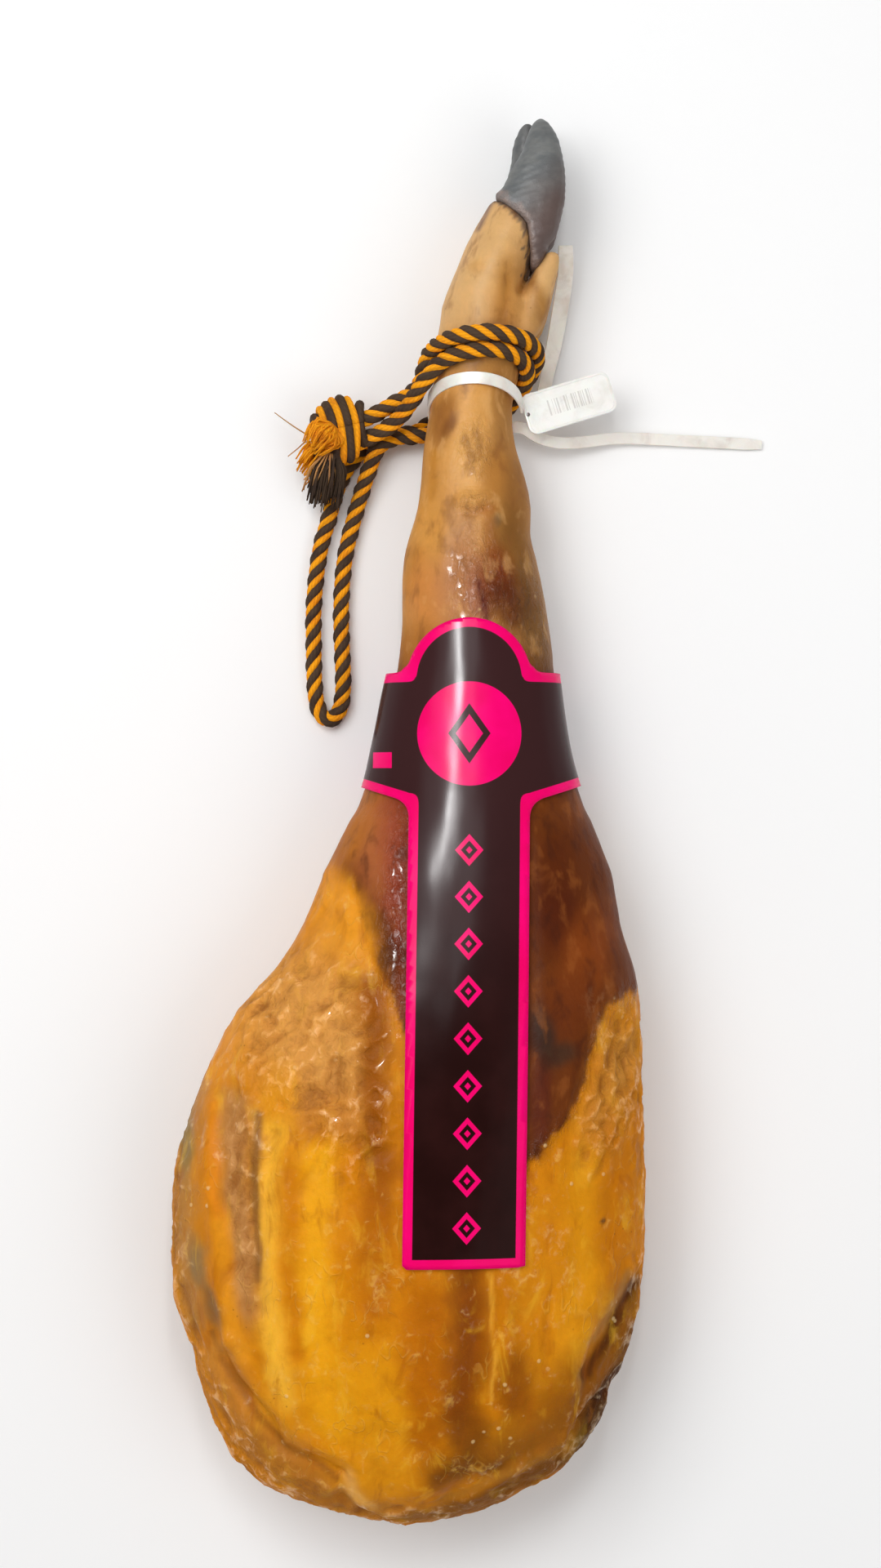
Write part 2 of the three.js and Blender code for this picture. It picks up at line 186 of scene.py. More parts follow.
def makeCamera():
    bpy.ops.object.camera_add(location=[place * mm for place in cameraSpec["at"]])
    camera = bpy.context.object
    camera.rotation_euler = (0, 0, 0)
    camera.data.lens = cameraSpec["lens"]
    camera.data.sensor_width = cameraSpec["sensor"]
    camera.data.clip_end = cameraSpec["reach"]
    bpy.context.scene.camera = camera


makeCamera()
print("camera placed")


# the sections of the leg that the rope and the label follow:
# y, left x, right x, bottom z, top z, all in mm
legRows = [
    (-70, -171, 95, -4, 130), (-30, -172, 97.5, -4, 132), (5, -171, 98.5, -4, 131),
    (40, -162, 98, -4, 129), (70, -150, 97, -4, 126), (98, -134.5, 95.5, -3, 122),
    (120, -113.5, 92, -2, 118), (145, -97, 84, 0, 113), (176, -86, 78.5, 4, 107),
    (208, -69, 66.5, 8, 100), (225, -62.5, 60.5, 10, 96), (246, -56.5, 54.5, 11, 92),
    (270, -49.5, 50, 12, 88), (300, -42.5, 46, 13, 83), (332, -40.5, 41.5, 15, 78),
    (356, -39.5, 36.5, 16, 74), (372, -35.5, 33, 17, 71), (388, -31, 33, 17.5, 68),
    (405, -29, 30, 18, 65), (422, -28, 24.5, 18, 62), (447, -24, 22, 17.5, 59),
    (462, -22, 25, 17, 59), (478, -20, 29.5, 15, 60), (487, -19.5, 33.5, 13, 61),
    (496, -18, 36, 11, 61.5), (505, -17, 35, 9, 61.5),
]
sectionShape = {"waist": 0.45, "above": 2.05, "below": 2.5}  # height of the widest place, and how square


def rowAt(y):
    rows = legRows
    i = max(1, min(len(rows) - 3, next((k for k, r in enumerate(rows) if r[0] > y), len(rows) - 1) - 1))
    a, b, c, d = rows[i - 1:i + 3]
    t = (y - b[0]) / (c[0] - b[0])
    out = []
    for k in range(1, 5):
        m0 = (c[k] - a[k]) / (c[0] - a[0]) * (c[0] - b[0])
        m1 = (d[k] - b[k]) / (d[0] - b[0]) * (c[0] - b[0])
        out.append((2 * t ** 3 - 3 * t * t + 1) * b[k] + (t ** 3 - 2 * t * t + t) * m0
                   + (-2 * t ** 3 + 3 * t * t) * c[k] + (t ** 3 - t * t) * m1)
    return out


# a place on the skin at an angle round the section, pushed out on the left, right, bottom and top
def skinPoint(y, degrees, grow):
    left, right, bottom, top = rowAt(y)
    left, right, bottom, top = left - grow[0], right + grow[1], bottom - grow[2], top + grow[3]
    t = math.radians(degrees)
    level = bottom + sectionShape["waist"] * (top - bottom)
    up = math.sin(t) >= 0
    power = sectionShape["above" if up else "below"]
    height = top - level if up else level - bottom
    c, s = math.cos(t), math.sin(t)
    x = (left + right) / 2 + (right - left) / 2 * math.copysign(abs(c) ** (2 / power), c)
    return Vector((x, y, level + height * math.copysign(abs(s) ** (2 / power), s)))


rope = {"diameter": 10, "lay": 25, "strandRadius": (2.42, 2.02), "strandOffset": 2.76, "sides": 10,
        "step": 1.7, "clear": 1}
turns = {
    "lower": {"y": 461.3, "over": 15.3, "under": 19.5, "lean": 2.5, "ride": 0, "right": 0},
    "upper": {"y": 474, "over": 11.5, "under": 20.6, "lean": 0, "ride": 5, "right": 2.9},
}


def turnPoints(kind, start, end, count):
    spec = turns[kind]
    off = rope["diameter"] / 2 + rope["clear"]
    points = []
    for i in range(count):
        degrees = start + (end - start) * i / (count - 1)
        up = math.sin(math.radians(degrees))
        y = spec["y"] + (spec["over"] if up > 0 else spec["under"]) * up
        y += spec["lean"] * math.cos(math.radians(degrees))
        grow = [off, off + spec["right"], off, off + spec["ride"] * max(up, 0)]
        points.append(skinPoint(y, degrees, grow))
    return points


ropeRoute = [
    (-74, 437.5, 26), (-66.5, 439.8, 26.5), (-59, 442.8, 27.5), (-51.5, 446.8, 28.5), (-44, 451, 30),
    (-37, 454.6, 32), (-32.3, 458.8, 34.5), (-29.4, 464.2, 37), (-28, 470.2, 39.5),
    *turnPoints("upper", 166, -108, 18),
    (-19.5, 445.5, 7), (-27, 439.5, 5.6), (-34, 435.8, 5.3), (-44, 434, 5.3), (-55, 431.5, 5.3),
    (-66, 424.5, 5.3), (-75, 413, 5.3), (-81, 399, 5.3), (-85, 384.5, 5.3), (-89.5, 369, 5.3),
    (-92.5, 350, 5.3), (-94, 330, 5.3), (-94, 310, 5.3), (-93.6, 290, 5.3), (-92.3, 276, 5.3),
    (-89.5, 268.5, 5.3), (-85.4, 265.6, 5.3), (-81.2, 267.5, 5.3), (-77.8, 274, 5.3),
    (-76.5, 286, 5.3), (-77, 304, 5.3), (-77.7, 324, 5.3), (-77.2, 344, 5.3), (-75, 364, 5.3),
    (-70.5, 383, 5.5), (-65.5, 400, 7.8), (-60.5, 414.5, 12), (-55.5, 425.6, 15.4), (-46, 431.3, 16.2),
    (-34, 432.2, 16.2), (-26.5, 433.4, 13.8), (-19, 436.6, 9.8),
    *turnPoints("lower", -98, 137, 16),
    (-24.6, 464, 53), (-30.2, 457.6, 47.8), (-34.8, 450.9, 41.4), (-39.8, 444.7, 35.8), (-45.4, 439, 31.4),
    (-52, 434.6, 28.2), (-59.5, 430.8, 25.4), (-68, 427, 23),
]


# four strands laid round one line, dark and orange by turns
def laidRope(name, line):
    frames = lineFrames(line)
    verts, faces, uvs, slots = [], [], [], []
    for strand in range(4):
        run, centres = 0.0, []
        for i, (point, (along, side, up)) in enumerate(zip(line, frames)):
            if i:
                run += (point - line[i - 1]).length / mm
            t = 2 * math.pi * (run / rope["lay"] + strand / 4)
            reach = rope["strandOffset"] * mm
            centres.append(point + side * (reach * math.cos(t)) + up * (reach * math.sin(t)))
        before = len(faces)
        tubeMesh(centres, rope["strandRadius"][strand % 2] * mm, rope["sides"], verts, faces, uvs)
        slots += [strand % 2] * (len(faces) - before)
    item = meshPiece(name, verts, faces)
    storeUv(item, uvs)
    item.data.polygons.foreach_set("material_index", slots)
    return item


def makeRope():
    route = [Vector(p) * mm for p in ropeRoute]
    line = smoothLine(route, rope["step"] * mm)
    length = sum((b - a).length for a, b in zip(line, line[1:]))
    item = laidRope("laidRope", line)
    return item, line, length


ropePiece, ropeLine, ropeLength = makeRope()
print("rope laid, length", round(ropeLength, 4))


knot = {"centre": (-78.6, 434.5, 25.5), "radii": (14.8, 20.5, 13), "lean": 16, "rings": 7, "spread": 4.35,
        "strands": (2.8, 2.15), "steps": 40, "sway": 2.2, "swirl": 1.2, "core": 3.2, "seed": 5}


# the rope opens in the knot, so its strands lie side by side over a dark core
def makeKnot():
    centre = Vector(knot["centre"]) * mm
    rx, ry, rz = (r * mm for r in knot["radii"])
    verts, faces, uvs, slots = [], [], [], []
    random.seed(knot["seed"])
    turn = math.radians(knot["lean"])
    for ring in range(knot["rings"]):
        strandRadius = knot["strands"][ring % 2] * mm
        across = (ring - (knot["rings"] - 1) / 2) * knot["spread"] * mm
        share = math.sqrt(max(0.0, 1 - (across / (rx * 1.12)) ** 2))
        line = []
        swirl = random.uniform(-knot["swirl"], knot["swirl"]) * mm
        for i in range(knot["steps"] + 1):
            t = 2 * math.pi * i / knot["steps"]
            bend = 1 + 0.05 * math.sin(2 * t + ring)
            x = across + knot["sway"] * mm * math.sin(t + 0.6) + swirl * math.cos(2 * t)
            y = (ry - strandRadius) * share * bend * math.sin(t)
            z = (rz - strandRadius) * max(share, 0.55) * math.cos(t)
            line.append(centre + Vector((x * math.cos(turn) - y * math.sin(turn),
                                         x * math.sin(turn) + y * math.cos(turn), z)))
        before = len(faces)
        tubeMesh(line, strandRadius, rope["sides"], verts, faces, uvs)
        slots += [ring % 2] * (len(faces) - before)
    item = meshPiece("knotStrands", verts, faces)
    storeUv(item, uvs)
    item.data.polygons.foreach_set("material_index", slots)
    return item


def makeKnotCore():
    deselectAll()
    bpy.ops.mesh.primitive_uv_sphere_add(segments=32, ring_count=20, radius=1)
    item = bpy.context.object
    item.name = "knotCore"
    item.scale = [(r - knot["core"]) * mm for r in knot["radii"]]
    item.rotation_euler = (0, 0, math.radians(knot["lean"]))
    item.location = Vector(knot["centre"]) * mm
    settle(item)
    item.data.shade_smooth()
    return item


knotPiece = makeKnot()
knotCore = makeKnotCore()
print("knot wound")


# frayed ends: where the yarns start and end, how far they spread and bulge, their count, radius and seed
tuftRows = [
    ("orangeTuft", (-81, 436, 37), (-91.5, 424.5, 37), 7.5, 4.2, 130, 0.68, 11),
    ("orangeFray", (-86, 426, 30), (-99, 411, 20), 8, 2.5, 80, 0.6, 12),
    ("darkFray", (-81, 424, 33), (-88, 393, 16), 11, 2.2, 140, 0.55, 13),
    ("paleFray", (-84, 421, 34), (-93, 399, 18), 11, 2.4, 18, 0.5, 14),
]
yarn = {"sides": 6, "step": 2.6, "lowest": 1.2, "root": 2.6, "flat": 0.65, "longer": 4, "shorter": -11}
strays = [
    [(-92, 429, 30), (-98, 432, 33), (-107, 438, 31), (-116, 445, 26)],
    [(-92, 424, 26), (-97, 428, 27), (-103, 424, 23), (-108.5, 420, 20)],
]


def makeTuft(name, root, tip, spread, bulge, count, thickness, seed):
    random.seed(seed)
    root, tip = Vector(root), Vector(tip)
    along = (tip - root).normalized()
    side = along.cross(Vector((0, 0, 1))).normalized()
    up = side.cross(along)
    verts, faces, uvs = [], [], []
    for _ in range(count):
        turn = random.uniform(0, 2 * math.pi)
        reach = math.sqrt(random.random())
        out = side * math.cos(turn) + up * math.sin(turn) * yarn["flat"]
        longer = random.uniform(yarn["shorter"], yarn["longer"]) * (0.5 + 0.5 * reach)
        end = tip + out * spread * reach + along * longer
        start = root + out * yarn["root"] * reach
        middle = (start + end) / 2 + out * bulge * (0.5 + reach) + Vector((0, 0, yarn["lowest"]))
        wobble = Vector([random.uniform(-1, 1) for _ in range(3)])
        points = [start, start.lerp(middle, 0.6), middle, end + wobble]
        for point in points:
            point.z = max(point.z, yarn["lowest"])
        line = smoothLine([p * mm for p in points], yarn["step"] * mm)
        radius = thickness * random.uniform(0.75, 1.2) * mm
        radii = [radius * (1 if i < len(line) - 2 else 0.7) for i in range(len(line))]
        tubeMesh(line, radii, yarn["sides"], verts, faces, uvs)
    item = meshPiece(name, verts, faces)
    storeUv(item, uvs)
    return item


def makeStrays():
    verts, faces, uvs = [], [], []
    for points in strays:
        line = smoothLine([Vector(p) * mm for p in points], 2 * mm)
        radii = [0.55 * mm * (1 - 0.5 * i / len(line)) for i in range(len(line))]
        tubeMesh(line, radii, yarn["sides"], verts, faces, uvs)
    item = meshPiece("strayYarns", verts, faces)
    storeUv(item, uvs)
    return item


tuftPieces = {name: makeTuft(name, *rest) for name, *rest in tuftRows}
tuftPieces["strayYarns"] = makeStrays()
print("ends frayed")


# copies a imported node, welds it and gives it an even skin to sculpt
def remeshed(node, name, voxel, soften):
    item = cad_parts[node].copy()
    item.data = item.data.copy()
    item.name = name
    item.parent = None
    for key in list(item.keys()):
        del item[key]
    bpy.context.scene.collection.objects.link(item)
    pick(item)
    bpy.ops.object.mode_set(mode="EDIT")
    bpy.ops.mesh.select_all(action="SELECT")
    bpy.ops.mesh.remove_doubles(threshold=0.01 * mm)
    bpy.ops.object.mode_set(mode="OBJECT")
    item.data.materials.clear()
    remesh = item.modifiers.new("even", "REMESH")
    remesh.mode = "VOXEL"
    remesh.voxel_size = voxel * mm
    smooth = item.modifiers.new("soften", "SMOOTH")
    smooth.factor = 0.5
    smooth.iterations = soften
    applyAll(item)
    item.data.shade_smooth()
    return item


def readMesh(item):
    count = len(item.data.vertices)
    places, normals = np.empty(count * 3), np.empty(count * 3)
    item.data.vertices.foreach_get("co", places)
    item.data.vertices.foreach_get("normal", normals)
    return places.reshape(-1, 3) / mm, normals.reshape(-1, 3)


def writeMesh(item, places):
    item.data.vertices.foreach_set("co", (places * mm).ravel())
    item.data.update()


def storeMasks(item, masks):
    for name, values in masks.items():
        item.data.attributes.new(name, "FLOAT", "POINT").data.foreach_set("value", values)


# distance in mm from points to a broken line, both seen from above
def lineDistance(x, y, points):
    best = np.full(len(x), 1e9)
    for (ax, ay), (bx, by) in zip(points, points[1:]):
        length = (bx - ax) ** 2 + (by - ay) ** 2
        t = np.clip(((x - ax) * (bx - ax) + (y - ay) * (by - ay)) / length, 0, 1)
        best = np.minimum(best, np.hypot(x - ax - t * (bx - ax), y - ay - t * (by - ay)))
    return best


# 1 inside an oval seen from above, falling to 0 over its edge
def oval(x, y, at, reach, turn=0, edge=0.5):
    a = math.radians(turn)
    u = ((x - at[0]) * math.cos(a) + (y - at[1]) * math.sin(a)) / reach[0]
    v = (-(x - at[0]) * math.sin(a) + (y - at[1]) * math.cos(a)) / reach[1]
    return 1 - smoothStep(1 - edge, 1 + edge, np.hypot(u, v))


# where the dark cured flesh meets the pared fat, left and right of the label
cutEdge = [(-300, 168), (-100, 168), (-86, 172), (-68, 176), (-62, 150), (-56, 132), (-49, 115), (-40, 92),
           (-20, 40), (0, 12), (20, 8), (33, 20), (54, 46), (62, 72), (76, 98), (100, 112), (300, 112)]


def aboveCut(x, y):
    return y - np.interp(x, *zip(*cutEdge))


# a line along the skin, how deep or high it is and how wide, in mm
creases = [
    ([(9.4, -42), (9, -70), (11, -95), (13, -118)], 1.8, 1.6),
    ([(45, -52), (41, -78), (38, -98)], 1.0, 2.2),
    ([(93, -56), (82, -70), (70, -88), (62, -102)], 3.6, 5),
    ([(82, -108), (67, -127), (58, -143), (50, -158)], 3.2, 3.5),
    ([(-112, 34), (-117, -20), (-118, -66)], 1.8, 3.5),
    ([(-56, 60), (-54, 0), (-50, -50)], 1.6, 8),
    ([(-90, 10), (-92, -50), (-84, -110)], 0.8, 7),
    ([(-2, -44), (-2, -80), (-6, -128)], 2.2, 11),
    ([(19.5, 519), (19, 505), (16.5, 494)], 1.6, 2.2),
    ([(27, 512), (31, 519), (34, 527)], 2.2, 2.6),
    ([(-3, 385.5), (2.5, 383.5), (8, 386)], 2.0, 2.2),
    ([(8, 375), (7, 352), (9, 326)], 1.0, 2.0),
    ([(-140, -96), (-129, -113), (-108, -143), (-77, -160)], 2.6, 3.2),
    ([(-77, -160), (-76, -176), (-52, -193)], 2.4, 3),
    ([(-60, -120), (-40, -140), (-20, -150)], 1.2, 5),
    ([(-20, -186), (-2, -160), (6, -140)], 1.8, 5),
    ([(30, -150), (10, -160), (-16, -176)], 1.6, 3.5),
    ([(-146, -78), (-132, -112), (-112, -142)], 1.8, 4),
]
ridges = [
    ([(-147, 44), (-149, 0), (-143, -46), (-134, -86)], 2.6, 5),
    ([(-108, 40), (-110, -30), (-112, -72), (-104, -124)], 2.0, 8),
    ([(74, -50), (58, -84), (44, -112)], 2.2, 9),
    ([(-72, 30), (-74, -40), (-62, -118)], 1.6, 11),
    ([(16, -46), (17, -80), (18, -112)], 1.4, 4),
    ([(-2, 522), (2, 495)], 0.8, 6),
    ([(-4, 391), (3, 390), (9, 392)], 1.6, 2.6),
    ([(-14, 440), (-15, 400), (-20, 350)], 1.0, 5),
    ([(6, 432), (2, 408)], 0.8, 3),
    ([(-134, -84), (-118, -114), (-98, -138), (-66, -152)], 2.2, 4),
    ([(-132, -126), (-108, -156), (-86, -172)], 2.4, 6),
    ([(-66, -160), (-60, -172)], 3.0, 6),
    ([(48, -144), (24, -158), (-6, -178)], 2.0, 4),
]


def underLabel(x, y):
    tongue = 1 - smoothStep(34, 44, np.abs(x + 4.5))
    tongue *= smoothStep(-52, -40, y) * (1 - smoothStep(322, 334, y))
    arms = smoothStep(205, 215, y) * (1 - smoothStep(294, 304, y))
    return np.maximum(tongue, arms)


# how far the skin swells and dips, in mm; each "Size" is how wide such a feature is
legSkin = {
    "voxel": 2.1, "soften": 5, "swell": 0.8, "lump": 1.5, "lumpSize": 70, "dent": 0.4, "dentSize": 18,
    "fold": 0.8, "foldSize": 5.6, "fatRough": 0.5, "pared": 1.1, "strip": 2.4, "flap": 3.5,
    "crumple": 3.6, "fatCrumple": 0.7, "rim": 1.7, "rimRough": 1.1, "foot": 0.5,
}
hollowStrip = {"at": (-130, -4), "reach": (10, 60), "turn": 4}
looseFlap = {"at": (76, -138), "reach": (15, 30), "turn": -33}


def sculptLeg(item):
    p, n = readMesh(item)
    warp = np.stack([field(p, 26, 3), field(p, 26, 4)], 1) * 3
    x, y = p[:, 0] + warp[:, 0], p[:, 1] + warp[:, 1]
    top = smoothStep(-0.1, 0.35, n[:, 2])
    body = 1 - smoothStep(150, 230, p[:, 1])
    height = legSkin["swell"] + legSkin["lump"] * roughField(p, legSkin["lumpSize"], 1) * (0.3 + 0.7 * body)
    height += legSkin["dent"] * roughField(p, legSkin["dentSize"], 8)
    for line, deep, width in creases:
        height -= deep * np.exp(-(lineDistance(x, y, line) / width) ** 2) * top
    for line, high, width in ridges:
        height += high * np.exp(-(lineDistance(x, y, line) / width) ** 2) * top
    cut = aboveCut(x, y)
    # soft upright folds in the fat
    fat = top * (1 - smoothStep(-10, 30, cut))
    folds = np.sin(p[:, 0] / legSkin["foldSize"] + 2.8 * field(p, 60, 21)) * smoothStep(-150, -100, p[:, 1])
    height += fat * legSkin["fold"] * folds
    height += fat * legSkin["fatRough"] * roughField(p * np.array([1.0, 0.5, 1.0]), 8, 23)
    # the pared fat lies a little below the dark flesh
    height += legSkin["pared"] * top * smoothStep(-2.5, 2.5, cut) * (1 - smoothStep(60, 120, cut))
    # rough hollow strip along the left
    hollow = oval(x, y, *hollowStrip.values(), 0.25) * top
    height -= hollow * (legSkin["strip"] + 1.1 * roughField(p, 7, 31))
    # the loose flap at the lower right lies deeper
    flap = oval(x, y, *looseFlap.values(), 0.35)
    height -= flap * (legSkin["flap"] + 1.2 * roughField(p, 10, 37))
    # flaky wrinkled patches and a rough outer edge
    flake = flakes(p)
    height += wrinkleMask(x, y) * top * legSkin["crumple"] * (flake - 0.5)
    rim = legSkin["rim"] * (flake - 0.5) + legSkin["rimRough"] * roughField(p, 19, 47)
    height += rimMask(x, y) * rim
    height += fat * legSkin["fatCrumple"] * (flake - 0.5)
    # the lower face is pressed flat but uneven towards its rim
    under = 1 - smoothStep(-0.75, -0.4, n[:, 2])
    height *= 1 - under * 0.9
    height *= 1 - 0.93 * underLabel(p[:, 0], p[:, 1])
    # the foot is smoother and a little fuller
    height = height * (1 - 0.6 * smoothStep(535, 560, p[:, 1]))
    height += legSkin["foot"] * smoothStep(420, 500, p[:, 1])
    keep = smoothStep(0, 6, p[:, 2])
    writeMesh(item, p + n * (height * keep)[:, None])


# crumpled crests of dry skin, from about 0 in the hollows to 1 on the crests
def flakes(p):
    bend = np.stack([field(p, 14, 41 + k) for k in range(3)], 1) * 6
    q = (p + bend) @ np.array([[0.9, 0.3, 0], [-0.5, 0.8, 0], [0, 0, 1.0]])
    crest = 1 - 1.7 * np.abs(field(q, 13, 44))
    finer = 1 - 1.7 * np.abs(field(q, 6.2, 45))
    return 0.62 * crest + 0.38 * finer


def wrinkleMask(x, y):
    left = np.maximum(oval(x, y, (-92, 84), (40, 50), 38, 0.3), oval(x, y, (-68, 46), (24, 36), 0, 0.4))
    right = oval(x, y, (76, 52), (16, 42), -14, 0.35)
    return np.clip(left + right, 0, 1)


# the rough outer edge, far from the middle of the body
def rimMask(x, y):
    far = np.hypot((x + 36) / 134, (y + 8) / 176)
    return smoothStep(0.93, 1.03, far) * (1 - smoothStep(60, 130, y))


legPiece = remeshed("cured_leg", "curedLeg", legSkin["voxel"], legSkin["soften"])
sculptLeg(legPiece)
print("leg sculpted,", len(legPiece.data.vertices), "points")

legPaint = {
    "trotter": (216, 172, 122),
    "shank": (206, 148, 86),
    "calf": (110, 54, 20),
    "fat": (212, 132, 12),
    "underMeat": (84, 38, 26),
    "underFat": (196, 136, 62),
    "underShank": (128, 86, 48),
    "coronet": (112, 94, 90),
}
paintDepth = (1.06, 1.05, 1.12)  # powers that deepen red, green and blue
